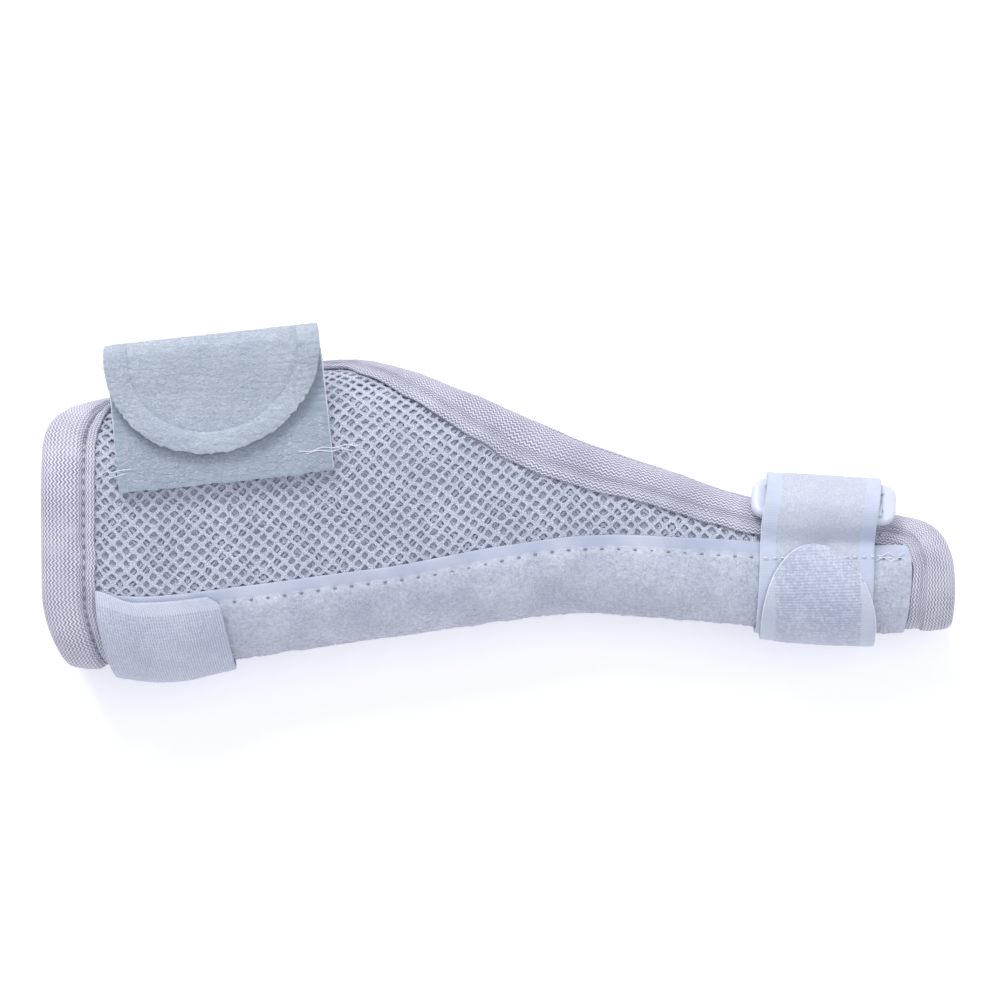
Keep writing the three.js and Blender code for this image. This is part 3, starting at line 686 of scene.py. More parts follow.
@dataclass(frozen=True)
class WovenTape(Finish):
    """Nylon hook tape: a plain ribbed selvedge, and a woven middle that carries rows of hooks.

    Attributes:
        rib: From weft to weft, as on real tape.
        cell: From hook to hook.
        width: Of the tape.
        selvedge: Width of the plain band along each side.
        hooks: Share of the middle's pattern that is hooks, the rest being weave.
        depth: Strength of the whole pattern over the fine fibre.
        rib_depth: Strength of the selvedge's ribs.
        scatter: How far the hooks stand out of line, from 0 to 1.
    """

    rib: float = 0.55
    cell: float = 0.8
    width: float = 26.0
    selvedge: float = 3.0
    hooks: float = 0.55
    depth: float = 0.34
    rib_depth: float = 0.4
    scatter: float = 0.85

    def pattern(self, tree: Tree, u: Socket, v: Socket, flat: Socket) -> Socket:
        """Draws ribs across the tape, and a basket of hooks between the two selvedges."""
        ribs = self.wave(tree, u, self.rib)
        rows = self.wave(tree, v, self.cell)
        part = add_node(tree, "Math", {"operation": "MULTIPLY_ADD"}, {0: rows, 1: 0.45, 2: 0.6})
        basket = add_node(tree, "Math", {"operation": "MULTIPLY"}, {0: ribs, 1: part.outputs[0]})
        cells = {"Vector": flat, "Scale": 1 / self.cell, "Randomness": self.scatter}
        cell = add_node(tree, "TexVoronoi", {"feature": "F1"}, cells)
        limits = {"From Min": 0.1, "From Max": 0.62, "To Min": 1.0, "To Max": -1.0}
        hook = add_node(tree, "MapRange", {}, {"Value": cell.outputs["Distance"], **limits})
        tint = add_node(tree, "SeparateXYZ", {}, {"Vector": cell.outputs["Color"]})
        spread = {0: tint.outputs["X"], 1: 0.7, 2: -0.35}
        uneven = add_node(tree, "Math", {"operation": "MULTIPLY_ADD"}, spread)
        lively = add_node(tree, "Math", {"operation": "ADD"}, {0: hook.outputs[0], 1: uneven.outputs[0]})
        woven = self.between(tree, self.hooks, basket.outputs[0], lively.outputs[0])
        plain = add_node(tree, "Math", {"operation": "MULTIPLY_ADD"}, {0: ribs, 1: self.rib_depth, 2: 0.3})
        mixed = self.between(tree, self.inside(tree, v, self.width, self.selvedge), plain.outputs[0], woven)
        fibre = add_node(tree, "TexNoise", {}, {"Vector": flat, "Scale": 3.0, "Detail": 3.0})
        fine = {0: fibre.outputs["Fac"], 1: 0.6, 2: 0.2}
        rough = add_node(tree, "Math", {"operation": "MULTIPLY_ADD"}, fine)
        last = {0: mixed, 1: self.depth, 2: rough.outputs[0]}
        return add_node(tree, "Math", {"operation": "MULTIPLY_ADD", "use_clamp": True}, last).outputs[0]


@dataclass(frozen=True)
class Moulded(Finish):
    """Injection-moulded polypropylene: smooth, milky, with a faint ripple."""

    def pattern(self, tree: Tree, u: Socket, v: Socket, flat: Socket) -> Socket:
        """Draws the faint flow marks of moulding."""
        flow = add_node(tree, "TexNoise", {}, {"Vector": flat, "Scale": 0.35, "Detail": 2.0})
        return flow.outputs["Fac"]


@dataclass
class Wardrobe:
    """All the finishes that the splint wears."""

    # Warp-knitted polyester tape gives fine zigzag ribs with a dry, silky light.
    binding: Finish = ZigzagKnit(
        "knitted binding tape", "85879f", "eeeef8", roughness=0.7, sheen=0.2, bump=0.2)
    # Polyester net, whose round strands look pale against the foam, with glints where filaments turn.
    net: Finish = Yarn("knitted spacer net", "a3aac0", "e4e8f3", roughness=0.6, sheen=0.15, bump=0.14)
    # The net's second face, seen through the holes of the first, with painted shade: the same yarn as the
    # first face, drawn darker for the shade that it lies in.
    under_net: Finish = Yarn("spacer net lower face", "979fb6", "c8cfdf", roughness=0.7, bump=0.1)
    # Foam and lining: in shade between the strands, and a soft ribbed jersey on the inside.
    core: Finish = Lining(
        "laminated foam with jersey lining", "9ea6ba", "cad1df", roughness=0.95, sheen=0.15, bump=0.15)
    # Brushed nylon loops, dull, with a mottled nap and a ribbed selvedge.
    plush: Finish = Pile(
        "brushed loop pile", "aeb6cb", "f0f5ff", roughness=0.95, sheen=0.3, bump=0.2,
        speckle=0.45, width=47.5, selvedge=2.8, rib_depth=0.04, plain=0.1, drift=0.16)
    # The wide strap's thicker pile, bluer, with its nap along the width.
    strap: Finish = Pile(
        "foam-backed loop pile", "a6b6cb", "f0f8ff", roughness=0.95, sheen=0.35, bump=0.22,
        clump=0.6, nap=2.2, speckle=0.6, drift=0.12)
    # Woven nylon with hooks, a little glossier than the pile.
    hook: Finish = WovenTape(
        "woven hook tape", "98a2ba", "dce2f0", roughness=0.55, sheen=0.1, bump=0.2, width=26.8,
        selvedge=3.4, cell=0.85, hooks=0.5, depth=0.32, rib_depth=0.08, scatter=1.0)
    # The wide flap is the same tape with finer hooks and a broad ribbed selvedge.
    flap: Finish = WovenTape(
        "woven hook tape, wide", "9ea7bf", "e0e5f3", roughness=0.6, sheen=0.15, bump=0.22,
        width=47.0, selvedge=3.0, rib=0.6, cell=0.78, hooks=0.22, depth=0.42)
    # Loop tape has shorter loops than the plush, and a selvedge on each side.
    loop: Finish = Pile(
        "woven loop tape", "b7c0d5", "f1f4fc", roughness=0.9, sheen=0.3, bump=0.18, clump=0.5,
        speckle=0.55, width=26.8, selvedge=3.4, rib_depth=0.04, plain=0.12)
    # Spun polyester thread, drawn dark grey in the seams: partly the thread's own grey, partly painted shade
    # for the shadow in its stitch holes and in the binding's groove.
    thread: Finish = Finish("sewing thread", "6f7389", "9397ac", roughness=0.6, bump=0.03)
    # Thread pulled down into a thick pile, in its own shade.
    sunk_thread: Finish = Finish("sewing thread, sunk", "525a70", "7a8298", roughness=0.7, bump=0.03)
    # The same thread left white where the straps are sewn on.
    white_thread: Finish = Finish("white sewing thread", "d5d9e6", "f4f6fc", roughness=0.5, bump=0.03)
    # Loose fibres of the pile, paler than the pile because they stand in the light.
    fuzz: Finish = Finish("nylon fibre", "b9c2d2", "e9eef7", roughness=0.7, sheen=0.3, bump=0.02)
    # Milky polypropylene, smooth from the mould and slightly translucent.
    ring: Finish = Moulded(
        "moulded polypropylene", "cdd3e4", "dde2ef", roughness=0.32, bump=0.02, subsurface=0.4, coat=0.2)

    def dress(self) -> dict[str, bpy.types.Material]:
        """Builds every finish once, by the name of its field."""
        return {name: finish.material() for name, finish in vars(self).items()}


def unit(vectors: Array) -> Array:
    """Scales each row to length 1."""
    return vectors / np.maximum(np.linalg.norm(vectors, axis=-1, keepdims=True), 1e-12)


def distances(line: Array) -> Array:
    """Gives the distance along a line of points at each of them."""
    return np.concatenate([[0], np.cumsum(np.linalg.norm(np.diff(line, axis=0), axis=1))])


def resample(line: Array, at: Array) -> Array:
    """Gives the points at these distances along a line."""
    run = distances(line)
    return np.stack([np.interp(at, run, column) for column in line.T], 1)


def relax(line: Array, times: int) -> Array:
    """Smooths a line of points between its two ends."""
    line = line.copy()
    for _ in range(times):
        line[1:-1] = line[1:-1] * 0.5 + (line[:-2] + line[2:]) * 0.25
    return line


def close_sweep(bm: bmesh.types.BMesh, merge: float) -> None:
    """Closes a swept grid: joins its seams, fills its ends and turns its faces outwards.

    Args:
        bm: The swept grid.
        merge: The distance below which two vertices are one, in metres.
    """
    bmesh.ops.remove_doubles(bm, verts=bm.verts, dist=merge)
    bmesh.ops.holes_fill(bm, edges=[e for e in bm.edges if e.is_boundary], sides=0)
    bmesh.ops.recalc_face_normals(bm, faces=bm.faces)


def thicken(piece: Piece, thickness: float, offset: float = 0.0) -> None:
    """Gives a surface its thickness.

    Args:
        piece: The surface.
        thickness: In millimetres.
        offset: 0 to grow to both sides, -1 to grow inwards.
    """
    wall = piece.modifiers.new("thickness", "SOLIDIFY")
    wall.thickness = thickness * MM
    wall.offset = offset


def soften(piece: Piece, width: float, segments: int, past: float) -> None:
    """Rounds a piece's sharp edges.

    Args:
        piece: The piece.
        width: How far the rounding reaches, in millimetres.
        segments: How many faces it has.
        past: The angle past which an edge is rounded, in degrees.
    """
    soft = piece.modifiers.new("soft edge", "BEVEL")
    soft.width = width * MM
    soft.segments = segments
    soft.limit_method = "ANGLE"
    soft.angle_limit = math.radians(past)


def round_tip(c: Array, into: Array) -> tuple[Array, Array]:
    """Rounds the end of a strap without pinching its mesh.

    Args:
        c: Place across the strap, from -1 to 1.
        into: Place along the rounded end, from 0 where it starts to 1.

    Returns:
        The place across and the place along, on a half ellipse of sizes 1 and 1.
    """
    into = np.clip(into, 0, 1)
    return c * np.sqrt(1 - into**2 / 2), into * np.sqrt(1 - c**2 / 2)


class Workbench:
    """Makes objects from grids, and hands them their finish and body."""

    def __init__(self, materials: dict[str, bpy.types.Material]) -> None:
        """Keeps the materials."""
        self.materials = materials

    def from_bmesh(self, name: str, bm: bmesh.types.BMesh, finish: str, sharp: float) -> Piece:
        """Turns a bmesh into a finished object.

        Args:
            name: The piece's name.
            bm: Its mesh, in metres, with its UV map. It is freed.
            finish: The material's name in the wardrobe.
            sharp: The angle past which an edge stays sharp, in degrees.

        Returns:
            The object, linked to the scene.
        """
        mesh = bpy.data.meshes.new(name)
        bm.to_mesh(mesh)
        bm.free()
        mesh.polygons.foreach_set("use_smooth", [True] * len(mesh.polygons))
        mesh.set_sharp_from_angle(angle=math.radians(sharp))
        mesh.materials.append(self.materials[finish])
        made = bpy.data.objects.new(name, mesh)
        bpy.context.scene.collection.objects.link(made)
        return made

    def grid(
        self, columns: int, rows: int, place: Placer, flat: tuple[float, float], turned: bool = False,
        cut: Cutter | None = None,
    ) -> bmesh.types.BMesh:
        """Makes a grid and lays it in space.

        Args:
            columns: Faces along u.
            rows: Faces along v.
            place: Turns arrays of u and v, from 0 to 1, into points in metres.
            flat: The grid's real size along u and v in millimetres, for its UV map.
            turned: Whether the cloth's own length runs along v.
            cut: Where the outline is cut round, turns u and v into the real place on the cloth.

        Returns:
            The bmesh.
        """
        bm = bmesh.new()
        layer = bm.loops.layers.uv.new("flat")
        bmesh.ops.create_grid(bm, x_segments=columns, y_segments=rows, size=0.5)
        spots = np.array([v.co[:2] for v in bm.verts]) + 0.5
        cloth = cut(*spots.T) if cut else (spots[:, 0] * flat[0], spots[:, 1] * flat[1])
        cloth = np.stack(cloth[::-1] if turned else cloth, 1)
        bm.verts.index_update()
        for face in bm.faces:
            for loop in face.loops:
                loop[layer].uv = cloth[loop.vert.index]
        for vert, spot in zip(bm.verts, place(spots[:, 0], spots[:, 1])):
            vert.co = spot
        return bm

    def sheet(
        self, name: str, columns: int, rows: int, place: Placer, flat: tuple[float, float], finish: str,
        thickness: float, edge: float = 0.3, turned: bool = False, cut: Cutter | None = None,
    ) -> Piece:
        """Makes a sheet of cloth round its middle surface.

        Args:
            name: The piece's name.
            columns, rows, place, flat, turned, cut: As for `grid`, with `place` for the middle surface.
            finish: The material's name.
            thickness: In millimetres.
            edge: How far its edges are rounded, in millimetres.

        Returns:
            The object.
        """
        made = self.from_bmesh(name, self.grid(columns, rows, place, flat, turned, cut), finish, 80)
        thicken(made, thickness)
        soften(made, edge, 2, 50)
        return made

    def shade(self, piece: Piece, amounts: Array) -> None:
        """Keeps how much darker the cloth is at each vertex, for its material."""
        layer = piece.data.attributes.new("shade", "FLOAT", "POINT")
        layer.data.foreach_set("value", np.asarray(amounts, np.float32))

    def own(self, piece: Piece, slot: str, *nodes: str) -> None:
        """Rides a piece on the splint's body.

        Args:
            piece: The piece.
            slot: Its material slot. Not used.
            nodes: The CAD nodes that it replaces.
        """
        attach(piece, BODY)
        if nodes:
            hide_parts(*nodes)
        LOG.info("%s: %d faces, replaces %s", piece.name, len(piece.data.polygons), nodes or "nothing")

    def stitches(
        self, name: str, spots: Array, runs: Array, ups: Array, length: float, width: float, finish: str
    ) -> Piece:
        """Lays one row of stitches, each a small bead of thread.

        Args:
            name: The row's name.
            spots: Their middles, in metres.
            runs: The way each one runs, as unit vectors.
            ups: The way out of the cloth at each one.
            length: Of a stitch, in millimetres.
            width: Of its thread, in millimetres.
            finish: The material's name.

        Returns:
            One object with every stitch of the row.
        """
        bm = bmesh.new()
        bm.loops.layers.uv.new("flat")
        for spot, run, up in zip(spots, runs, ups):
            side = unit(np.cross(up, run))
            out = np.cross(run, side)
            frame = Matrix((run * length / 2, side * width / 2, out * width / 2)).transposed().to_4x4()
            frame.translation = Vector(spot)
            bmesh.ops.create_icosphere(bm, subdivisions=1, radius=MM, matrix=frame, calc_uvs=True)
        return self.from_bmesh(name, bm, finish, 180)

    def tube(self, name: str, path: Array, radius: float, finish: str, sides: int = 8) -> Piece:
        """Draws a round thread along a path.

        Args:
            name: The piece's name.
            path: Points in metres, one row each.
            radius: In millimetres.
            finish: The material's name.
            sides: Faces round it.

        Returns:
            The object, closed at both ends.
        """
        way = unit(np.gradient(path, axis=0))
        side = unit(np.cross(way, [0.0, 0.0, 1.0]))
        up = np.cross(side, way)
        last = len(path) - 1

        def place(u: Array, v: Array) -> Array:
            """Turns a place along the thread and round it into a point."""
            i = np.rint(u * last).astype(int)
            angle = (v * math.tau)[:, None]
            return path[i] + (side[i] * np.cos(angle) + up[i] * np.sin(angle)) * radius * MM

        bm = self.grid(last, sides, place, (40.0, 1.0))
        close_sweep(bm, radius * MM * 0.05)
        return self.from_bmesh(name, bm, finish, 70)


@dataclass
class Nap:
    """Loose fibres that stand off a pile: short bent ribbons, strewn the same way in each run.

    Attributes:
        count: How many fibres.
        length: Of a fibre, in millimetres.
        seed: Picks one strewing.
        lie: The way that the nap lies, in degrees from u.
        spread: How far fibres turn from it, in degrees.
        lift: How high a fibre's middle stands off the cloth, in millimetres.
        width: Of a fibre. It is drawn as coarse as it needs to show.
        thickness: Of a fibre.
    """

    count: int
    length: float
    seed: int
    lie: float = 0.0
    spread: float = 180.0
    lift: float = 0.22
    width: float = 0.13
    thickness: float = 0.05

    def grow(
        self, bench: Workbench, name: str, place: Placer, skin: float,
        field_u: tuple[float, float] = (0.01, 0.99), field_v: tuple[float, float] = (0.01, 0.99),
    ) -> Piece:
        """Strews the fibres over a sheet.

        Args:
            bench: The workbench.
            name: The piece's name.
            place: The sheet's middle surface.
            skin: From there to the face that they stand on, in millimetres, negative for the other face.
            field_u: The stretch of u that they cover.
            field_v: The stretch of v that they cover.

        Returns:
            One object with every fibre.
        """
        rng = np.random.default_rng(self.seed)
        u, v = rng.uniform(*field_u, self.count), rng.uniform(*field_v, self.count)
        step = 0.002
        root = place(u, v)
        along = unit(place(u + step, v) - place(u - step, v))
        normal = unit(np.cross(along, place(u, v + step) - place(u, v - step)))
        across = np.cross(normal, along)
        turn = np.radians(self.lie + rng.uniform(-self.spread, self.spread, self.count))[:, None]
        way = along * np.cos(turn) + across * np.sin(turn)
        out = normal * np.sign(skin)
        side = np.cross(out, way)
        root = root + out * abs(skin) * MM
        reach = self.length * rng.uniform(0.5, 1.2, self.count)[:, None]
        sway = rng.uniform(-0.35, 0.35, self.count)[:, None]
        heights = np.array([-0.1, 1.0, 0.45]) * self.lift
        cuts = 2 * self.count - 1

        def strew(a: Array, b: Array) -> Array:
            """Lays two columns of the grid as the two edges of each fibre."""
            column = np.rint(a * cuts).astype(int)
            i, edge = column // 2, (column % 2 - 0.5)[:, None]
            station = np.rint(b * 2).astype(int)
            share = (station / 2)[:, None]
            bend = side[i] * (sway[i] * share**2 * reach[i] + edge * self.width * (1 - 0.5 * share))
            return root[i] + (way[i] * share * reach[i] + bend + out[i] * heights[station][:, None]) * MM

        bm = bench.grid(cuts, 2, strew, (float(self.count), 1.0))
        layer = bm.loops.layers.uv["flat"]
        per_column = cuts / self.count / 4
        gaps = [f for f in bm.faces if round(sum(p[layer].uv.x for p in f.loops) * per_column - 0.5) % 2]
        bmesh.ops.delete(bm, geom=gaps, context="FACES")
        made = bench.from_bmesh(name, bm, "fuzz", 180)
        thicken(made, self.thickness)
        return made


@dataclass
class Shell:
    """The padded mesh wall: foam and lining, and the two faces of spacer net on each panel."""

    wall: Wall
    bench: Workbench
    pitch: float = 2.25
    strand: float = 0.76
    under_pitch: float = 1.88
    under_strand: float = 0.6
    net_depth: float = 0.45
    net_rise: float = 0.05
    under_rise: float = -0.5
    core_depth: float = 0.95
    core_inset: float = 0.4
    under_strip: float = 2.5
    off_mouth: float = 2.2
    off_forearm: float = 5.0
    off_thumb: float = 3.5
    hole_corner: float = 0.17
    strand_round: float = 0.17
    wander: float = 0.2
    unevenness: float = 0.1
    flat_reach: float = 115.0
    flat_middle: float = 45.0

    def core(self) -> Piece:
        """Builds the foam and lining as one closed wall.

        Returns:
            The object.
        """
        wall = self.wall
        middle = -(self.core_depth + wall.wall) / 2

        def place(u: Array, v: Array) -> Array:
            """Lays the middle of the foam, from end to end and from mouth to mouth."""
            share = 2 * v - 1
            first, last = (wall.end_x(share, end) for end in End)
            x = blend(first + self.core_inset, last - self.core_inset, u)
            return wall.point(x, wall.arc_at(x, share * 0.995), middle)

        return self.bench.sheet(
            "wall_core", 150, 110, place, (wall.length, 130), "core", wall.wall - self.core_depth, 0.3
        )

    def net(self, panel: Panel, name: str, pitch: float, strand: float, top: float, finish: str) -> Piece:
        """Knits one face of net for one panel.

        Args:
            panel: The panel that it covers.
            name: The piece's name.
            pitch: From hole to hole, in millimetres.
            strand: The width of what lies between two holes.
            top: How far its outer face is above the wall's.
            finish: The material's name.

        Returns:
            The object.
        """
        wall = self.wall
        side = panel.value
        bm = bmesh.new()
        layer = bm.loops.layers.uv.new("flat")
        count = int(2 * self.flat_reach / pitch)
        bmesh.ops.create_grid(bm, x_segments=count, y_segments=count, size=count * pitch / 2)
        bmesh.ops.rotate(bm, verts=bm.verts, matrix=Matrix.Rotation(math.radians(45), 3, "Z"))
        bmesh.ops.translate(bm, verts=bm.verts, vec=(wall.length / 2, side * self.flat_middle, 0))
        centres = np.array([f.calc_center_median()[:2] for f in bm.faces])
        x, s = centres[:, 0], centres[:, 1]
        x_in = np.clip(x, 0, wall.length)
        q = wall.section(x_in)
        edge = q.front if panel is Panel.FRONT else q.back
        share = np.clip(s / edge, -1, 1)
        rim = wall.strip_front(x_in) if panel is Panel.FRONT else -wall.strip_back(x_in)
        keep = (
            (side * s > rim - self.under_strip)
            & (side * s < edge - self.off_mouth)
            & (x > wall.end_x(share, End.FOREARM) + self.off_forearm)
            & (x < wall.end_x(share, End.THUMB) - self.off_thumb)
        )
        outside = [f for f, kept in zip(bm.faces, keep) if not kept]
        bmesh.ops.delete(bm, geom=outside, context="FACES")
        holes = list(bm.faces)
        bmesh.ops.inset_individual(bm, faces=holes, thickness=strand / 2, use_even_offset=True)
        rims = {v for f in holes for v in f.verts}
        bmesh.ops.delete(bm, geom=holes, context="FACES_ONLY")
        bmesh.ops.bevel(
            bm, geom=list(rims), offset=(pitch - strand) * self.hole_corner, offset_type="OFFSET",
            segments=1, profile=0.5, affect="VERTICES", material=-1
        )
        for face in bm.faces:
            for loop in face.loops:
                loop[layer].uv = loop.vert.co.xy
        flat = np.array([v.co for v in bm.verts])
        a, b = flat[:, 0], flat[:, 1]
        x = a + self.wander * (ripple(a, b, 5, 14) + ripple(a, b, 7, 3))
        s = b + self.wander * (ripple(a, b, 6, 14) + ripple(a, b, 8, 3))
        rise = top + self.unevenness * ripple(a, b, 9, 3.2)
        for vert, spot in zip(bm.verts, wall.point(np.clip(x, 0, wall.length), s, rise)):
            vert.co = spot
        made = self.bench.from_bmesh(name, bm, finish, 75)
        thicken(made, self.net_depth, -1.0)
        if finish == "net":
            soften(made, self.strand_round, 1, 60)
        return made

    def build(self) -> None:
        """Builds the wall's pieces."""
        core = self.core()
        self.bench.own(core, "mesh", "mesh_shell")
        nets = []
        for panel in Panel:
            label = panel.name.lower()
            low = self.under_pitch, self.under_strand, self.under_rise, "under_net"
            nets.append(self.net(panel, f"net_{label}", self.pitch, self.strand, self.net_rise, "net"))
            nets.append(self.net(panel, f"under_net_{label}", *low))
        for net in nets:
            self.bench.own(net, "mesh")


@dataclass
class Binding:
    """The knitted binding, rolled over padding and stitched through beside its inner rim.

    Attributes:
        mouth_width: Its width along the mouth, from where it has widened.
        narrow_width: Its width at the mouth's forearm end.
        widens: The stretch of x where it goes from one to the other.
        drop: How far it bulges under the wall.
        rim: From its inner edge to the stitched groove.
        mean_reach: The reach for which its section's length is worked out.
        full_reach: The reach from which the groove has its whole size.
        step: From section to section along it.
        stitch_step: From stitch to stitch.
        slant: How far its ends at the thumb run back over the long binding.
        pull, end_rise: How far those ends are drawn inward, and lie higher.
        spine_inset, spine_sink: How far it lies further in and lower at the thumb's spine.
        tuck_in, tuck_down: How far the long binding is tucked under it.
        mouth_shade: How much darker it is along the mouth.
        columns: Faces round the section.
    """

    wall: Wall
    bench: Workbench
    mouth_width: float = 11.0
    narrow_width: float = 5.8
    widens: tuple[float, float] = (62.0, 118.0)
    drop: float = 1.3
    rim: float = 2.7
    mean_reach: float = 9.2
    full_reach: float = 8.4
    step: float = 1.0
    stitch_step: float = 2.5
    slant: float = -3.0
    pull: float = 0.6
    spine_inset: float = 0.9
    spine_sink: float = 0.38
    end_rise: float = 0.25
    tuck_in: float = 0.9
    tuck_down: float = 0.55
    mouth_shade: float = 0.14
    columns: int = 60

    def profile(self) -> tuple[Array, float]:
        """Draws the binding's section.

        Returns:
            Rows of (share of the reach, further inward, rise, rise where the groove is pulled flat), and the
            length round it.
        """
        w = self.wall
        under = -w.wall - 0.15
        top = w.binding_rise
        corners = [
            (0, -w.binding_tip, -w.wall / 2, -w.wall / 2),
            (0, -w.binding_tip * 0.86, 0.35, 0.35),
            (0, -w.binding_tip * 0.42, 1.45, 1.45),
            (0.1, 0, top + 0.1, top + 0.1),
            (0.42, 0, top + 0.25, top + 0.25),
            (0.72, -0.9, top - 0.05, top + 0.05),
            (1, -self.rim - 0.75, 1.35, top - 0.2),
            (1, -self.rim - 0.15, 0.1, 1.35),
            (1, -self.rim + 0.35, 0.1, 1.25),
            (1, -self.rim + 0.75, 1.15, 1.35),
            (1, -1.0, 1.5, 1.4),
            (1, -0.05, 1.3, 1.15),
            (1, 0.2, 0.75, 0.7),
            (1, -0.2, 0.16, 0.16),
            (0.55, 0, 0.12, 0.12),
            (0, -0.1, 0.1, 0.1),
            (0, -0.15, under, under),
            (0.72, 0, under, under),
            (0.72, 0, under - 0.75, under - 0.75),
            (0.3, 0, under - self.drop, under - self.drop),
            (0, -w.binding_tip * 0.4, under - self.drop * 0.7, under - self.drop * 0.7),
            (0, -w.binding_tip * 0.86, -w.wall * 0.85, -w.wall * 0.85),
        ]
        ring = np.array(corners + corners[:1], float)
        for _ in range(2):
            cut = np.concatenate([ring[:-1] * 0.75 + ring[1:] * 0.25, ring[:-1] * 0.25 + ring[1:] * 0.75], 1)
            ring = cut.reshape(-1, 4)
            ring = np.concatenate([ring, ring[:1]])
        across = ring[:, 0] * self.mean_reach + ring[:, 1]
        run = np.concatenate([[0], np.cumsum(np.hypot(np.diff(across), np.diff(ring[:, 2])))])
        at = np.linspace(0, run[-1], self.columns + 1)
        return np.stack([np.interp(at, run, ring[:, k]) for k in range(4)], 1), float(run[-1])

    def path(self, end: End, until: float) -> tuple[Array, Array]:
        """Traces the wall's edge at even steps, from the back panel's mouth to the front panel's.

        Args:
            end: The end of the wall that it goes round.
            until: The x where both mouth stretches stop.

        Returns:
            Places (x, s) in millimetres, and the distance along at each one.
        """
        wall = self.wall
        halves = []
        for side in (1, -1):
            share = side * np.sin(np.linspace(0, math.pi / 2, 160))
            x = wall.end_x(share, end)
            mouth = np.linspace(x[-1], until, 160)[1:]
            x = np.concatenate([x, mouth])
            share = np.concatenate([share, np.full(mouth.shape, float(side))])
            halves.append(np.stack([x, wall.arc_at(x, share)], 1))
        line = np.concatenate([halves[1][:0:-1], halves[0]])
        whole = distances(line)[-1]
        at = np.linspace(0, whole, int(whole / self.step) + 1)
        return resample(line, at), at

    def inward(self, line: Array, end: End) -> Array:
        """Gives the unit vectors that point from the edge into the wall."""
        run = unit(np.gradient(line, axis=0))
        sign = 1.0 if end is End.FOREARM else -1.0
        return sign * np.stack([run[:, 1], -run[:, 0]], 1)

    def width(self, x: Array, facing: Array, end: End) -> Array:
        """Gives the binding's whole width.

        Args:
            x: Along the wall, in millimetres.
            facing: How far the edge faces along the wall there, from 0 at a mouth to 1 at an end.
            end: The end that the binding goes round.

        Returns:
            The widths, in millimetres.
        """
        if end is End.THUMB:
            return np.full(x.shape, self.wall.binding_thumb)
        mouth = blend(self.narrow_width, self.mouth_width, smoothstep(x, *self.widens))
        return blend(mouth, self.wall.binding_forearm, facing)

    def roll(self, name: str, end: End, until: float) -> Piece:
        """Sweeps the section round the wall's edge.

        Args:
            name: The piece's name.
            end: The end that it goes round.
            until: The x where it stops on both mouths.

        Returns:
            The object.
        """
        wall = self.wall
        line, at = self.path(end, until)
        inward = self.inward(line, end)
        ring, around = self.profile()
        rows = len(line) - 1
        reach = self.width(line[:, 0], np.abs(inward[:, 0]), end) - wall.binding_tip
        trim = np.minimum(1, reach / self.full_reach)
        flat = self.pulled_flat(line[:, 0], end)
        last = np.minimum(at, at[-1] - at)

        def place(u: Array, v: Array) -> Array:
            """Lays the section at each step along the edge, with its swells and puckers."""
            i = np.rint(u * rows).astype(int)
            k = np.rint(v * self.columns).astype(int)
            rise = blend(ring[k, 2], ring[k, 3], flat[i])
            on_top = ring[k, 2] > 0.3
            puckers = 0.2 * ripple(at[i], 0 * at[i], 12, 5) * on_top * (ring[k, 0] > 0.9)
            into = ring[k, 0] * reach[i] + ring[k, 1] * blend(1, trim[i], ring[k, 0]) + puckers
            spot = line[i] + inward[i] * into[:, None]
            swell = (0.2 * ripple(at[i], k * 0.4, 11, 9) + 0.07 * ripple(at[i], k * 0.5, 13, 2.6)) * on_top
            if end is End.THUMB:
                near = smoothstep(last[i], 9.0, 0.0)
                inner = np.clip(into / reach[i], 0, 1)
                at_spine = np.exp(-((line[i, 1] / 11) ** 2))
                pull = self.pull * (smoothstep(last[i], 30.0, 20.0) + near)
                spot += inward[i] * (pull * (1 - inner))[:, None]
                spot[:, 0] += near * self.slant * inner + self.spine_inset * at_spine * (1 - inner)
                swell = swell + (self.end_rise * near - self.spine_sink * at_spine * rise) * on_top
            else:
                tuck = smoothstep(spot[:, 0], wall.length - 20.0, wall.length - 13.0)
                spot += inward[i] * (self.tuck_in * tuck)[:, None]
                swell = swell - tuck * (self.tuck_down * on_top)
            return wall.point(spot[:, 0], spot[:, 1], rise + swell)

        bm = self.bench.grid(rows, self.columns, place, (at[-1], around))
        close_sweep(bm, 0.02 * MM)
        places = np.array([v.co.x for v in bm.verts]) / MM - wall.offset[0]
        made = self.bench.from_bmesh(name, bm, "binding", 50)
        mouth = smoothstep(places, 30, 75) * (end is End.FOREARM)
        self.bench.shade(made, self.mouth_shade * mouth)
        return made

    def pulled_flat(self, x: Array, end: End) -> Array:
        """Says how far the groove is pulled out of the tape at x: least at the forearm end."""
        if end is End.THUMB:
            return np.full(x.shape, 0.55)
        corner = self.wall.corners[End.FOREARM][0]
        return 0.92 * smoothstep(x, corner, corner + 8)

    def seam(self, name: str, end: End, until: float) -> Piece:
        """Sews the row of stitches in the binding's groove.

        Args:
            name: The row's name.
            end: The end that the binding goes round.
            until: The x where it stops on both mouths.

        Returns:
            The row.
        """
        line, at = self.path(end, until)
        inward = self.inward(line, end)
        spots = np.arange(2.0, at[-1] - 2, self.stitch_step)
        x, s, nx, ns = (np.interp(spots, at, c) for c in (*line.T, *inward.T))
        x, s, nx, ns = (row[self.pulled_flat(x, end) < 0.5] for row in (x, s, nx, ns))
        reach = self.width(x, np.abs(nx), end) - self.wall.binding_tip
        into = reach - (self.rim - 0.1) * np.minimum(1, reach / self.full_reach)
        rise = 0.62 + 1.1 * self.pulled_flat(x, end)
        low = self.wall.point(x + nx * into, s + ns * into, rise)
        high = self.wall.point(x + nx * into, s + ns * into, rise + 1)
        along = unit(np.gradient(low, axis=0))
        # The stitches' dark thread is partly painted shade for the shadow in the groove.
        return self.bench.stitches(name, low, along, (high - low) / MM, 1.5, 0.42, "thread")

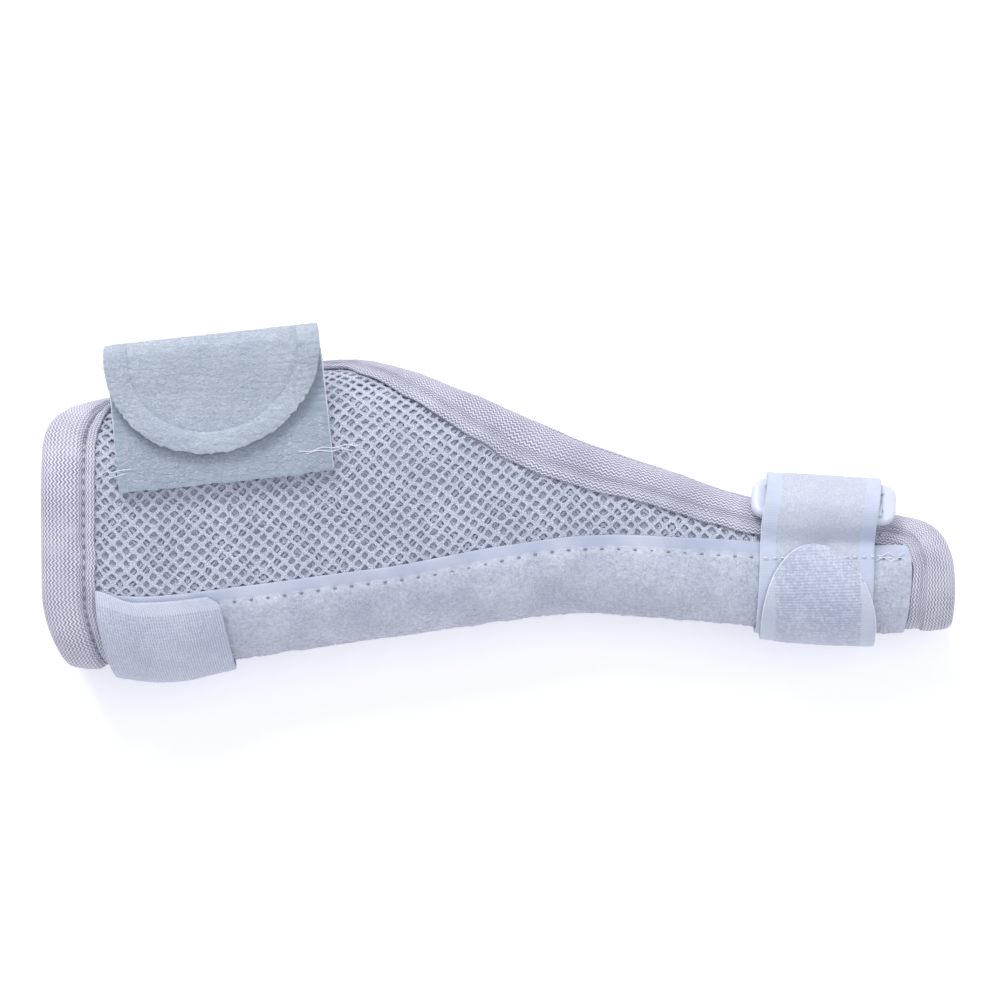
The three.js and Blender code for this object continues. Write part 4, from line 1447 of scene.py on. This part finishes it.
    def build(self) -> None:
        """Builds both bindings, and the seam of the one that goes round the forearm end."""
        wall = self.wall
        corner = wall.length - wall.corners[End.THUMB][0]
        for name, end, until in (
            ("edge_binding", End.FOREARM, corner + 1.5),
            ("thumb_end_binding", End.THUMB, corner - 0.5),
        ):
            piece = self.roll(f"{name}_tape", end, until)
            self.bench.own(piece, "binding", name)
            if end is End.FOREARM:
                self.bench.own(self.seam(f"{name}_stitches", end, until), "binding")


@dataclass
class Strip:
    """The loop-pile strip along the spine, with a ribbed selvedge and a sewn line beside it."""

    wall: Wall
    bench: Workbench
    selvedge: float = 2.8
    seam: float = 3.3
    stitch: float = 3.9
    middle_rise: float = 0.66
    pile: float = 0.4
    dimple: float = 0.4
    furrow: float = 0.14
    flat_length: float = 190.6

    def spot(self, u: Array, v: Array) -> tuple[Array, Array]:
        """Turns a place on the strip's flat pattern into the wall's own x and s."""
        wall = self.wall
        guess = wall.length * u
        s = blend(wall.strip_back(guess), wall.strip_front(guess), v)
        x = blend(wall.binding_rim(s, End.FOREARM), wall.binding_rim(s, End.THUMB), u)
        s = blend(wall.strip_back(x), wall.strip_front(x), v)
        return x, s + 0.35 * ripple(x, 0 * x, 21, 26) * v

    def place(self, u: Array, v: Array) -> Array:
        """Lays the strip's middle surface: its pile in lumps, with a dimple at each stitch."""
        x, s = self.spot(u, v)
        inside = np.minimum(v, 1 - v) * self.wall.strip_width
        pile = smoothstep(inside, self.selvedge - 0.3, self.selvedge + 0.9)
        lumps = 0.16 * ripple(x, s, 22, 10) + 0.12 * ripple(x, s, 23, 3) + 0.07 * ripple(x, s, 24, 1.6)
        far = (x / self.stitch + 0.5) % 1 - 0.5
        dimple = np.exp(-(((inside - self.seam) / 0.55) ** 2)) * np.exp(-((far * self.stitch / 0.7) ** 2))
        line = self.furrow * np.exp(-(((inside - self.seam) / 0.5) ** 2))
        rise = self.middle_rise + pile * (self.pile + lumps) - self.dimple * dimple - line
        return self.wall.point(x, s, rise)

    def build(self) -> None:
        """Builds the strip, its stitches and its loose fibres."""
        wall = self.wall
        made = self.bench.sheet(
            "plush_strip_pile", 340, 84, self.place, (self.flat_length, wall.strip_width), "plush", 0.8, 0.25
        )
        self.bench.own(made, "plush", "plush_strip")
        nap = Nap(9000, 0.9, 71, lift=0.14, width=0.1)
        fuzz = nap.grow(self.bench, "plush_strip_fibres", self.place, 0.4, field_v=(0.08, 0.92))
        self.bench.own(fuzz, "plush")
        for label, near in (("front", 1.0), ("back", 0.0)):
            v = abs(near - self.seam / wall.strip_width)
            x = np.arange(4, 52) * self.stitch
            s = blend(wall.strip_back(x), wall.strip_front(x), v)
            base, high = wall.point(x, s, 1.2), wall.point(x, s, 2.2)
            first, last = (wall.binding_rim(s, end) for end in End)
            keep = (x > first + 2) & (x < last - 2)
            along = unit(np.gradient(base, axis=0))
            ups = (high - base) / MM
            name = f"strip_stitches_{label}"
            # The stitches' dark thread is partly painted shade for the shadow in the stitch holes.
            row = self.bench.stitches(name, base[keep], along[keep], ups[keep], 1.0, 0.5, "thread")
            self.bench.own(row, "plush")


@dataclass
class HookFlap:
    """The hook-tape flap that closes the stay pocket at the forearm end."""

    wall: Wall
    bench: Workbench
    length: float = 29.4
    slant: float = 3.2
    corner: float = 2.5
    corner_from: float = 0.9
    overhang: float = 0.4
    dip: float = 2.0
    back: float = 18.0
    bulge: float = 1.8

    def place(self, u: Array, v: Array) -> Array:
        """Lays the flap's middle surface: bulged in the middle, its free end cut slanting at both sides."""
        wall = self.wall
        across = 2 * v - 1
        top = wall.strip_front_forearm + self.overhang - self.dip * smoothstep(u, 0, 0.35)
        s = blend(-self.back, top, v)
        start = wall.binding_rim(s, End.FOREARM)
        over = np.maximum(np.abs(across) - self.corner_from, 0) / (1 - self.corner_from)
        end = wall.binding_forearm + self.length - self.slant * across**2 - self.corner * over**1.4
        x = blend(start, end, u)
        swell = self.bulge * np.sin(math.pi * (0.15 + u * 0.7)) * np.cos(across * math.pi / 2) ** 2
        rise = wall.stack(1) + wall.clearance + wall.tape / 2
        return wall.point(x, s, rise + swell + 0.14 * ripple(x, s, 31, 12) + 0.04 * ripple(x, s, 32, 1.6))

    def build(self) -> None:
        """Builds the flap."""
        made = self.bench.sheet(
            "hook_flap_tape", 60, 90, self.place, (30.0, 47.0), "flap", self.wall.tape, 0.35
        )
        self.bench.own(made, "hook_tape", "hook_flap")


@dataclass
class WristStrap:
    """The wide padded strap: sewn to the panel, standing off, folded over, with a bordered round tab.

    Attributes:
        centre_x, stitch_y: Where the middle of its seam lies, in the wall's own millimetres.
        turn: How far it is turned from square across the panel.
        hem: From the seam down to its cut end.
        reach: From the seam up to the fold.
        fold: Radius of the fold.
        tab: From the fold to the tab's tip.
        straight: The tab's straight part, before its round end.
        lean: How far the tab leans from the layer below.
        gap: Between the two layers at the tip.
        droop: How much its free part bends down.
        border: Width of the tab's padded border.
        groove, groove_width: Depth and width of the seam beside it.
        puff, crown: Swell of the border and of the middle.
        tab_stitch: From stitch to stitch of that seam.
        under_shade: How much darker the lower layer is.
        over: Arc length of the fold.
    """

    wall: Wall
    bench: Workbench
    thickness: float = 2.6
    edge: float = 1.0
    width: float = 49.5
    centre_x: float = 40.7
    stitch_y: float = 49.7
    turn: float = math.radians(6.2)
    hem: float = 6.8
    reach: float = 23.5
    fold: float = 2.7
    tab: float = 23.4
    straight: float = 0.4
    lean: float = math.radians(4.0)
    gap: float = 0.4
    droop: float = 0.42
    border: float = 5.0
    groove: float = 1.3
    groove_width: float = 0.62
    puff: float = 0.5
    crown: float = 0.35
    tab_stitch: float = 2.0
    under_shade: float = 0.28
    over: float = math.pi * 2.7

    def spot(self, across: Array, run: Array) -> tuple[Array, Array]:
        """Turns a place on the strap's flat pattern into the wall's own x and y."""
        cos, sin = math.cos(self.turn), math.sin(self.turn)
        return self.centre_x + across * cos - run * sin, self.stitch_y + across * sin + run * cos

    def ground(self, across: Array, run: Array) -> Array:
        """Gives the height of the strap's middle where it lies on the panel."""
        x, y = self.spot(across, run)
        return self.wall.front_height(x, y, self.wall.clearance + 0.2 + self.thickness / 2)

    def free(self, across: Array, run: Array) -> Array:
        """Gives the height of the strap's middle where it stands off past the mouth."""
        centre, near, far = (self.ground(np.zeros(1), np.full(1, p))[0] for p in (0.0, -1.0, 1.0))
        t = run / self.reach
        local = self.ground(across, 0 * across) - centre
        return centre + local * (1 - t) + (far - near) / 2 * run * (1 - self.droop * t)

    def cut(self, u: Array, v: Array) -> tuple[Array, Array]:
        """Gives the place on the cloth, across it and along it from the hem, with the tab's end cut round."""
        half = self.width / 2
        c = 2 * u - 1
        d = v * (self.hem + self.reach + self.over + self.tab) - self.hem
        from_round = self.reach + self.over + self.straight
        rounded = self.tab - self.straight
        aside, into = round_tip(c, (d - from_round) / rounded)
        at_tip = d > from_round
        return np.where(at_tip, aside, c) * half, np.where(at_tip, from_round + rounded * into, d)

    def inset(self, across: Array, d: Array) -> Array:
        """Gives the distance in from the tab's outline."""
        half = self.width / 2
        into = np.maximum(d - self.reach - self.over - self.straight, 0) / (self.tab - self.straight)
        return (1 - np.hypot(across / half, into)) * half

    def lay(self, across: Array, d: Array, lift: float = 0.0) -> Array:
        """Lays places of the cloth in space.

        Args:
            across: Millimetres from the strap's middle line.
            d: Millimetres along it, from where it is sewn on.
            lift: How far above the middle surface, in millimetres.

        Returns:
            Points in metres.
        """
        turned = np.clip((d - self.reach) / self.over, 0, 1)
        q = np.maximum(d - self.reach - self.over, 0)
        angle = math.pi * (turned - 0.5)
        run = np.where(turned > 0, self.reach + self.fold * np.cos(angle) - q, d)
        on_free = self.free(across, np.clip(run, 0, self.reach))
        under = np.where(run > 0, on_free, self.ground(across, np.minimum(run, 0)))
        closing = self.fold - (self.thickness / 2 + self.gap)
        stacked = 2 * self.fold - 2 * closing * smoothstep(q, 0, self.tab * 0.6)
        folded = np.where(q > 0, stacked, np.where(turned > 0, self.fold * (1 + np.sin(angle)), 0))
        inset = self.inset(across, d)
        on_tab = smoothstep(d, self.reach + self.fold * 1.5, self.reach + self.fold * 2.8)
        groove = self.groove * np.exp(-(((inset - self.border) / self.groove_width) ** 2))
        puff = self.puff * np.sin(np.clip(inset / self.border, 0, 1) * math.pi)
        crown = self.crown * smoothstep(inset, self.border, self.border + 6)
        x, y = self.spot(across - q * math.tan(self.lean), run)
        lumps = 0.2 * ripple(x, y, 41, 13)
        lumps += 0.07 * ripple(x * 0.7, y, 42, 2.2) + 0.07 * ripple(x * 0.7, y, 43, 1.2)
        z = under + folded + (puff + crown - groove) * on_tab + lumps + lift
        return np.stack([x + self.wall.offset[0], y + self.wall.offset[1], z], -1) * MM

    def place(self, u: Array, v: Array) -> Array:
        """Lays the strap's middle surface, from its hem round the fold to the tab's tip."""
        return self.lay(*self.cut(u, v))

    def tab_seam(self) -> None:
        """Sews the line inside the tab's border."""
        half, rounded = self.width / 2, self.tab - self.straight
        share = 1 - self.border / half
        from_round = self.reach + self.over + self.straight
        turn = np.linspace(0, math.pi, 240)
        side, climb = np.full(24, half * share), np.linspace(-5.5, 0, 24)
        across = np.concatenate([side, half * share * np.cos(turn), -side])
        d = from_round + np.concatenate([climb, rounded * share * np.sin(turn), climb[::-1]])
        line = self.lay(across, d, self.thickness / 2 + 0.3)
        spots = resample(line / MM, np.arange(1.0, distances(line / MM)[-1] - 1, self.tab_stitch)) * MM
        ups = np.tile([0.0, 0.0, 1.0], (len(spots), 1))
        along = unit(np.gradient(spots, axis=0))
        row = self.bench.stitches("wrist_tab_stitches", spots, along, ups, 1.35, 0.42, "sunk_thread")
        self.bench.own(row, "strap_plush")

    def sewing(self) -> None:
        """Sews the strap to the panel, and leaves the thread's loose white ends."""
        half = self.width / 2
        across = np.arange(-half + 1.5, half + 0.5, 2.4)
        line = self.lay(across, np.full(across.shape, -2.0), self.thickness / 2 + 0.05)
        ups = np.tile([0.0, 0.0, 1.0], (len(line), 1))
        along = unit(np.gradient(line, axis=0))
        row = self.bench.stitches("wrist_strap_stitches", line, along, ups, 1.5, 0.4, "strap")
        self.bench.own(row, "strap_plush")
        ends = {
            "left": [
                (-21.5, -1.8, 0.05), (-24, -1.6, 0.3), (-26.2, -2.0, -1.4), (-27.8, -1.5, -2.3),
                (-29, -2.1, -2.5),
            ],
            "left_short": [(-23, -2.6, 0.1), (-25.2, -2.9, -0.4), (-26.8, -3.2, -2.2), (-27.9, -2.7, -2.5)],
            "right": [
                (17, -1.6, 0.05), (20, -2.1, 0.2), (23, -1.3, 0.25), (25.6, -1.8, -0.5), (28.4, -1.2, -2.3),
                (30.8, -1.9, -2.6),
            ],
            "right_short": [
                (19, -2.5, 0.05), (22, -1.9, 0.25), (25, -2.6, 0.0), (27.5, -2.0, -2.2), (29.6, -2.9, -2.6),
            ],
        }
        for label, points in ends.items():
            knots = np.array(points)
            at = np.linspace(0, len(points) - 1, 40)
            way = np.stack([np.interp(at, np.arange(len(points)), column) for column in knots.T], 1)
            c, p, lift = relax(way, 4).T
            x, y = self.spot(c, p)
            z = self.wall.front_height(x, y, self.wall.clearance + 0.35 + self.thickness) + lift
            path = np.stack([x + self.wall.offset[0], y + self.wall.offset[1], z], -1) * MM
            end = self.bench.tube(f"wrist_thread_{label}", path, 0.1, "white_thread")
            self.bench.own(end, "strap_plush")

    def build(self) -> None:
        """Builds the strap, its fibres and the thread that sews it on."""
        bm = self.bench.grid(124, 158, self.place, (self.width, 63.0), False, self.cut)
        uv = bm.loops.layers.uv["flat"]
        laid = np.array([v.link_loops[0][uv].uv.y for v in bm.verts])
        made = self.bench.from_bmesh("wrist_strap_plush", bm, "strap", 180)
        thicken(made, self.thickness)
        soften(made, self.edge, 3, 50)
        self.bench.shade(made, self.under_shade * smoothstep(laid, self.reach + 1, self.reach - 3))
        self.bench.own(made, "strap_plush", "wrist_strap")
        skin = -self.thickness / 2
        fibres = []
        for name, count, seed, face, stretch in (
            ("wrist_strap_fibres", 7000, 72, skin, (0.46, 0.97)),
            ("wrist_hem_fibres", 2200, 73, -skin, (0.02, 0.2)),
        ):
            nap = Nap(count, 0.95, seed, spread=35.0, lift=0.1, width=0.09)
            fibres.append(nap.grow(self.bench, name, self.place, face, (0.03, 0.97), stretch))
            self.bench.own(fibres[-1], "strap_plush")
        v = np.linspace(0.01, 0.44, 60)
        for label, u in (("left", 0.0), ("right", 1.0)):
            bead = self.bench.tube(f"wrist_strap_{label}_edge", self.place(u + 0 * v, v), 0.34, "fuzz")
            self.bench.own(bead, "strap_plush")
        self.tab_seam()
        self.sewing()


@dataclass
class ThumbStraps:
    """The ring, the loop-tape strap that holds it and the hook tab below.

    Attributes:
        centre_x: The middle of the straps along the wall.
        lean: How far both straps and the ring lean from square.
        tip_length, tip_gap: Of the tab's round end, and from it to the strip's front edge.
        tab_shift, tab_bend: How far the tab lies aside, and bends aside towards its tip.
        skew: How far the loop strap lies aside below the ring.
        back_share: Where both straps end on the strip's back half.
        bar, height: Thickness of the ring's bar, and the ring's outer size across the bars.
        play: Between the strap's edges and the ring.
        ring_turn, tilt: Of the ring, in the plan and down over the mouth.
        over_edge: From the mouth's edge to the ring's middle.
        end_swell: How much broader the bar is inwards at the ring's two ends.
        seam_in: From the strip's front edge to the seam.
    """

    wall: Wall
    bench: Workbench
    width: float = 26.8
    centre_x: float = 180.4
    lean: float = math.radians(1.7)
    tip_length: float = 17.0
    tip_gap: float = 1.0
    tab_shift: float = 0.14
    tab_bend: float = 0.0042
    skew: float = 1.3
    back_share: float = 0.9
    bar: float = 3.0
    play: float = 0.5
    height: float = 10.2
    ring_turn: float = math.radians(-3.5)
    tilt: float = math.radians(-27)
    over_edge: float = 3.7
    end_swell: float = 0.9
    seam_in: float = 3.3
    ring_steps: int = 110
    rows: int = 190
    columns: int = 40

    def leaned(self, points: Array) -> Array:
        """Shifts points sideways as they go up, in metres."""
        points = points.copy()
        y = points[..., 1] - (self.wall.offset[1] + self.wall.spine_radius) * MM
        points[..., 0] += math.tan(self.lean) * y
        return points

    def ring_place(self) -> tuple[float, float, float, float, float]:
        """Works out where the ring lies.

        Returns:
            Its middle's y and z, its near bar's y and z, and the distance between its bars.
        """
        wall = self.wall
        pitch = self.height - self.bar
        edge = wall.point(self.centre_x, wall.section(self.centre_x).front, 0.0)[1] / MM - wall.offset[1]
        middle_y = edge + self.over_edge
        near_y = middle_y - pitch / 2 * math.cos(self.tilt)
        c = np.array([-0.5, 0, 0.5]) * self.ring_length()
        seats = wall.front_height(
            self.centre_x + c * math.cos(self.ring_turn),
            near_y + c * math.sin(self.ring_turn),
            wall.binding_rise + wall.clearance + self.bar / 2,
        )
        near_z = float(seats.max())
        return middle_y, near_z + pitch / 2 * math.sin(self.tilt), near_y, near_z, pitch

    def ring_length(self) -> float:
        """Gives the ring's outer length."""
        return self.width + 2 * self.play + 2 * self.bar

    def ring(self) -> None:
        """Moulds the ring as a rounded bar bent into a rounded rectangle, broader at its two ends."""
        middle_y, middle_z, *_ = self.ring_place()
        half_w = (self.ring_length() - self.bar) / 2
        half_h = (self.height - self.bar) / 2
        radius = self.bar * 0.55
        corner = [
            (cx + radius * math.cos(a), cy + radius * math.sin(a))
            for cx, cy, start in (
                (half_w - radius, half_h - radius, 0),
                (-half_w + radius, half_h - radius, 90),
                (-half_w + radius, -half_h + radius, 180),
                (half_w - radius, -half_h + radius, 270),
            )
            for a in np.radians(np.linspace(start, start + 90, 9))
        ]
        line = np.array(corner + corner[:1])
        whole, count = distances(line)[-1], self.ring_steps
        path = resample(line, np.linspace(0, whole, count + 1))
        way = np.roll(path[:-1], -1, 0) - np.roll(path[:-1], 1, 0)
        way = unit(np.concatenate([way, way[:1]]))
        turned = np.array(Matrix.Rotation(self.ring_turn, 3, "Z") @ Matrix.Rotation(self.tilt, 3, "X"))
        origin = np.array([self.centre_x + self.wall.offset[0], middle_y + self.wall.offset[1], middle_z])

        def place(u: Array, v: Array) -> Array:
            """Lays the bar's squarish section round the ring."""
            i = np.rint(u * count).astype(int)
            angle = v * math.tau
            side = np.sign(np.cos(angle)) * np.abs(np.cos(angle)) ** 0.72 * self.bar / 2
            up = np.sign(np.sin(angle)) * np.abs(np.sin(angle)) ** 0.72 * self.bar / 2
            at_end = smoothstep(np.abs(path[i, 0]), half_w - 1.2, half_w)
            side = side * (1 + np.where(side < 0, self.end_swell, 0.12) * at_end)
            flat = path[i] + np.stack([way[i, 1], -way[i, 0]], 1) * side[:, None]
            spot = np.concatenate([flat, up[:, None]], 1)
            return self.leaned((spot @ turned.T + origin) * MM)

        bm = self.bench.grid(count, 28, place, (whole, self.bar * math.pi))
        bmesh.ops.remove_doubles(bm, verts=bm.verts, dist=0.01 * MM)
        bmesh.ops.recalc_face_normals(bm, faces=bm.faces)
        made = self.bench.from_bmesh("ring_moulded", bm, "ring", 180)
        self.bench.own(made, "ring_plastic", "thumb_ring")

    def loop_row(self, c: float) -> Array:
        """Draws the loop strap's line at a distance c from its middle.

        Args:
            c: Across the strap, in millimetres.

        Returns:
            Points from the back seam round the spine, through the ring and back, in metres.
        """
        wall = self.wall
        _, _, near_y, near_z, pitch = self.ring_place()
        rise = wall.stack(1) + wall.clearance + wall.tape / 2
        wrap = self.bar / 2 + 2 * wall.clearance + wall.tape / 2
        layer = wall.tape + wall.clearance
        over = np.array([0, math.cos(self.tilt), math.sin(self.tilt)])
        up = np.array([0, -math.sin(self.tilt), math.cos(self.tilt)])
        x = self.centre_x + c
        s = blend(self.back_share * wall.strip_back(x), wall.strip_front(x), np.linspace(0, 1, 40))
        on_wall = wall.point(x, s, rise) / MM
        near = np.array([x + wall.offset[0], near_y + wall.offset[1] + c * math.tan(self.ring_turn), near_z])
        far = near + over * pitch
        above = near + up * (wrap + layer)
        middle = (on_wall[-1] + above) / 2
        middle[2] = blend(on_wall[-1][2], above[2], 0.78)
        angles = np.radians(85 - 225 * np.linspace(0, 1, 16))
        rest = [
            middle,
            above,
            near + up * (wrap + 0.75 * layer) + over * pitch * 0.5,
            *[far + over * wrap * math.cos(a) + up * wrap * math.sin(a) for a in angles],
            near + over * pitch * 0.54,
            near + up * wrap * 0.86 + over * pitch * 0.26,
            near + up * wrap,
            near + up * wrap * 0.8 - over * self.bar * 0.2,
        ]
        line = np.concatenate([on_wall, np.array(rest)])
        line[: len(on_wall) + 1, 0] -= self.skew
        line[len(on_wall) + 1, 0] -= self.skew * 0.6
        line[len(on_wall) + 2, 0] -= self.skew * 0.25
        line *= MM
        return relax(resample(line, np.linspace(0, distances(line)[-1], self.rows + 1)), 12)

    def loop_strap(self) -> None:
        """Lays the loop-tape strap round the spine and through the ring."""
        lines = [self.loop_row((t - 0.5) * self.width) for t in np.linspace(0, 1, self.columns + 1)]
        table = self.leaned(np.array(lines))
        along = np.gradient(table, axis=1)
        normal = unit(np.cross(np.gradient(table, axis=0), along))
        i, j = np.meshgrid(np.arange(self.columns + 1), np.arange(self.rows + 1), indexing="ij")
        lumps = 0.05 * ripple(i * 0.65, j * 0.45, 55, 2.2) + 0.08 * ripple(i * 0.65, j * 0.45, 56, 9)
        table = table + normal * lumps[..., None] * MM

        def place(u: Array, v: Array) -> Array:
            """Reads the strap's table of points between its rows and columns."""
            a, b = np.clip(u, 0, 1) * self.columns, np.clip(v, 0, 1) * self.rows
            k, m = np.minimum(a.astype(int), self.columns - 1), np.minimum(b.astype(int), self.rows - 1)
            p, q = (a - k)[:, None], (b - m)[:, None]
            low = table[k, m] * (1 - p) + table[k + 1, m] * p
            high = table[k, m + 1] * (1 - p) + table[k + 1, m + 1] * p
            return low * (1 - q) + high * q

        thickness = self.wall.tape * 0.9
        size = (self.width, 79.0)
        made = self.bench.sheet(
            "thumb_loop_tape", self.columns, self.rows, place, size, "loop", thickness, 0.25, True
        )
        self.bench.own(made, "loop_tape", "thumb_loop_strap")
        nap = Nap(3200, 0.75, 74, lift=0.12, width=0.09)
        skin = thickness / 2
        fuzz = nap.grow(self.bench, "thumb_loop_fibres", place, -skin, (0.1, 0.9), (0.3, 0.7))
        self.bench.own(fuzz, "loop_tape")
        v = np.linspace(0.36, 0.7, 60)
        for label, u in (("left", 0.003), ("right", 0.997)):
            edge = self.bench.tube(f"thumb_loop_{label}_edge", place(u + 0 * v, v), 0.2, "white_thread")
            self.bench.own(edge, "loop_tape")

    def closure_tab(self) -> None:
        """Lays the hook tab round the spine and up to its round tip."""
        wall = self.wall
        floor = wall.stack(2) + wall.clearance + wall.tape / 2
        tip = float(wall.strip_front(self.centre_x)) - self.tip_gap
        start = float(self.back_share * wall.strip_back(self.centre_x)) - 2.5

        def cut(u: Array, v: Array) -> tuple[Array, Array]:
            """Gives the place on the cloth, with the tip cut round."""
            s = blend(start, tip, v)
            from_tip = tip - self.tip_length
            aside, into = round_tip(2 * u - 1, (s - from_tip) / self.tip_length)
            at_tip = s > from_tip
            across = np.where(at_tip, aside, 2 * u - 1) * self.width / 2
            return across + self.width / 2, np.where(at_tip, from_tip + self.tip_length * into, s)

        def place(u: Array, v: Array) -> Array:
            """Lays the tab round the spine, with the small knobs of its hooks."""
            across, s = cut(u, v)
            across = across - self.width / 2
            x = self.centre_x + self.tab_shift - self.tab_bend * np.maximum(s, 0) ** 2 + across
            knobs = 0.06 * ripple(x, s, 52, 1.3) * (np.abs(across) < self.width * 0.4)
            return self.leaned(wall.point(x, s, floor + 0.1 * ripple(x, s, 51, 9) + knobs))

        made = self.bench.sheet(
            "thumb_closure_tape", 60, 120, place, (self.width, 49.0), "hook", wall.tape, 0.35, True, cut
        )
        self.bench.own(made, "hook_tape", "thumb_closure_tab")
        side = np.linspace(0.5, 1, 60)[:-1]
        u = np.concatenate([0 * side, np.linspace(0, 1, 60), 0 * side + 1])
        v = np.concatenate([side, np.ones(60), side[::-1]])
        edge = self.bench.tube("thumb_closure_edge", place(u, v), 0.22, "white_thread")
        self.bench.own(edge, "hook_tape")

    def sewing(self) -> None:
        """Sews the loop strap down along the strip's seam, and leaves the thread's white ends."""
        wall = self.wall
        across = np.arange(-self.width / 2 + 1.2, self.width / 2 + 5.5, 2.1)
        x = self.centre_x + across - self.skew
        s = wall.strip_front(x) - self.seam_in
        on_strap = np.abs(across) < self.width / 2
        rise = np.where(on_strap, wall.stack(2) + wall.clearance * 0.6, 1.5)
        low, high = (self.leaned(wall.point(x, s, rise + k)) for k in (0.0, 1.0))
        along, ups = unit(np.gradient(low, axis=0)), (high - low) / MM
        row = self.bench.stitches("thumb_strap_stitches", low, along, ups, 1.5, 0.42, "white_thread")
        self.bench.own(row, "loop_tape")
        for label, shift, phase in (("upper", 0.5, 0.0), ("lower", -0.5, 1.7)):
            c = np.linspace(self.width / 2 + 0.6, self.width / 2 + 7.2, 40)
            x = self.centre_x + c - self.skew
            s = wall.strip_front(x) - 3.1 + shift + 0.35 * np.sin(c * 1.6 + phase)
            path = self.leaned(wall.point(x, s, 1.65 + 0.2 * np.sin(c * 2.3 + phase)))
            self.bench.own(self.bench.tube(f"thumb_thread_{label}", path, 0.1, "white_thread"), "loop_tape")

    def build(self) -> None:
        """Builds the three pieces and their sewing."""
        self.ring()
        self.loop_strap()
        self.closure_tab()
        self.sewing()


@dataclass
class Studio:
    """The plain studio: a pale floor, soft light, and a camera straight above the splint.

    Attributes:
        height: Of the camera, in metres, as all lengths here.
        plane: Height of the plane that the view's width is given for.
        view_width: What the picture shows across, in that plane.
        aim: Where the camera stands over the floor.
        sensor: Width of its sensor, in its own millimetres.
        sky: Strength of the light from all round.
        lamps: The name, place, size and power of each soft lamp.
    """

    height: float = 1.020
    plane: float = 0.020
    view_width: float = 0.2376
    aim: tuple[float, float] = (-0.0003, 0.0010)
    sensor: float = 36.0
    sky: float = 0.66
    lamps: tuple[tuple[str, tuple[float, float, float], float, float], ...] = (
        ("key", (-0.3, 0.95, 0.95), 0.6, 10.0),
        ("top", (0.3, 0.0, 1.3), 1.0, 4.5),
    )

    def floor(self) -> None:
        """Lays the floor: matt white paper, lit a little from below so that it stays pale."""
        bm = bmesh.new()
        bmesh.ops.create_grid(bm, x_segments=1, y_segments=1, size=2.0)
        mesh = bpy.data.meshes.new("floor")
        bm.to_mesh(mesh)
        bm.free()
        floor = bpy.data.objects.new("floor", mesh)
        bpy.context.scene.collection.objects.link(floor)
        paper = bpy.data.materials.new("matt white paper")
        paper.use_nodes = True
        shader = paper.node_tree.nodes["Principled BSDF"]
        shader.inputs["Base Color"].default_value = linear("fbfbfd")
        shader.inputs["Roughness"].default_value = 0.95
        shader.inputs["Emission Color"].default_value = linear("fbfbfd")
        shader.inputs["Emission Strength"].default_value = 0.22
        mesh.materials.append(paper)

    def build(self) -> None:
        """Sets the camera, the floor and the lights."""
        scene = bpy.context.scene
        scene.view_settings.view_transform = "Standard"
        lens = bpy.data.cameras.new("camera")
        lens.sensor_width = self.sensor
        lens.lens = self.sensor * (self.height - self.plane) / self.view_width
        camera = bpy.data.objects.new("camera", lens)
        camera.location = (*self.aim, self.height)
        scene.collection.objects.link(camera)
        scene.camera = camera
        self.floor()
        world = bpy.data.worlds.new("studio")
        world.use_nodes = True
        world.node_tree.nodes["Background"].inputs["Color"].default_value = linear("f4f6ff")
        world.node_tree.nodes["Background"].inputs["Strength"].default_value = self.sky
        scene.world = world
        for name, place, size, power in self.lamps:
            lamp = bpy.data.lights.new(name, "AREA")
            lamp.size = size
            lamp.energy = power
            light = bpy.data.objects.new(name, lamp)
            light.location = place
            light.rotation_euler = (-Vector(place)).to_track_quat("-Z", "Y").to_euler()
            scene.collection.objects.link(light)


def corners(box: tuple) -> list[list[float]]:
    """Turns a box into plain lists of numbers."""
    return [[float(c) for c in corner] for corner in box]


def main() -> None:
    """Builds the splint's look."""
    logging.basicConfig(level=logging.INFO, format="%(name)s: %(message)s")
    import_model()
    Studio().build()
    wall = Wall()
    wall.settle(Vector(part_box("mesh_shell")[0]))
    bench = Workbench(Wardrobe().dress())
    for part in (Shell, Binding, Strip, HookFlap, WristStrap, ThumbStraps):
        part(wall, bench).build()


if __name__ == "__main__":
    main()
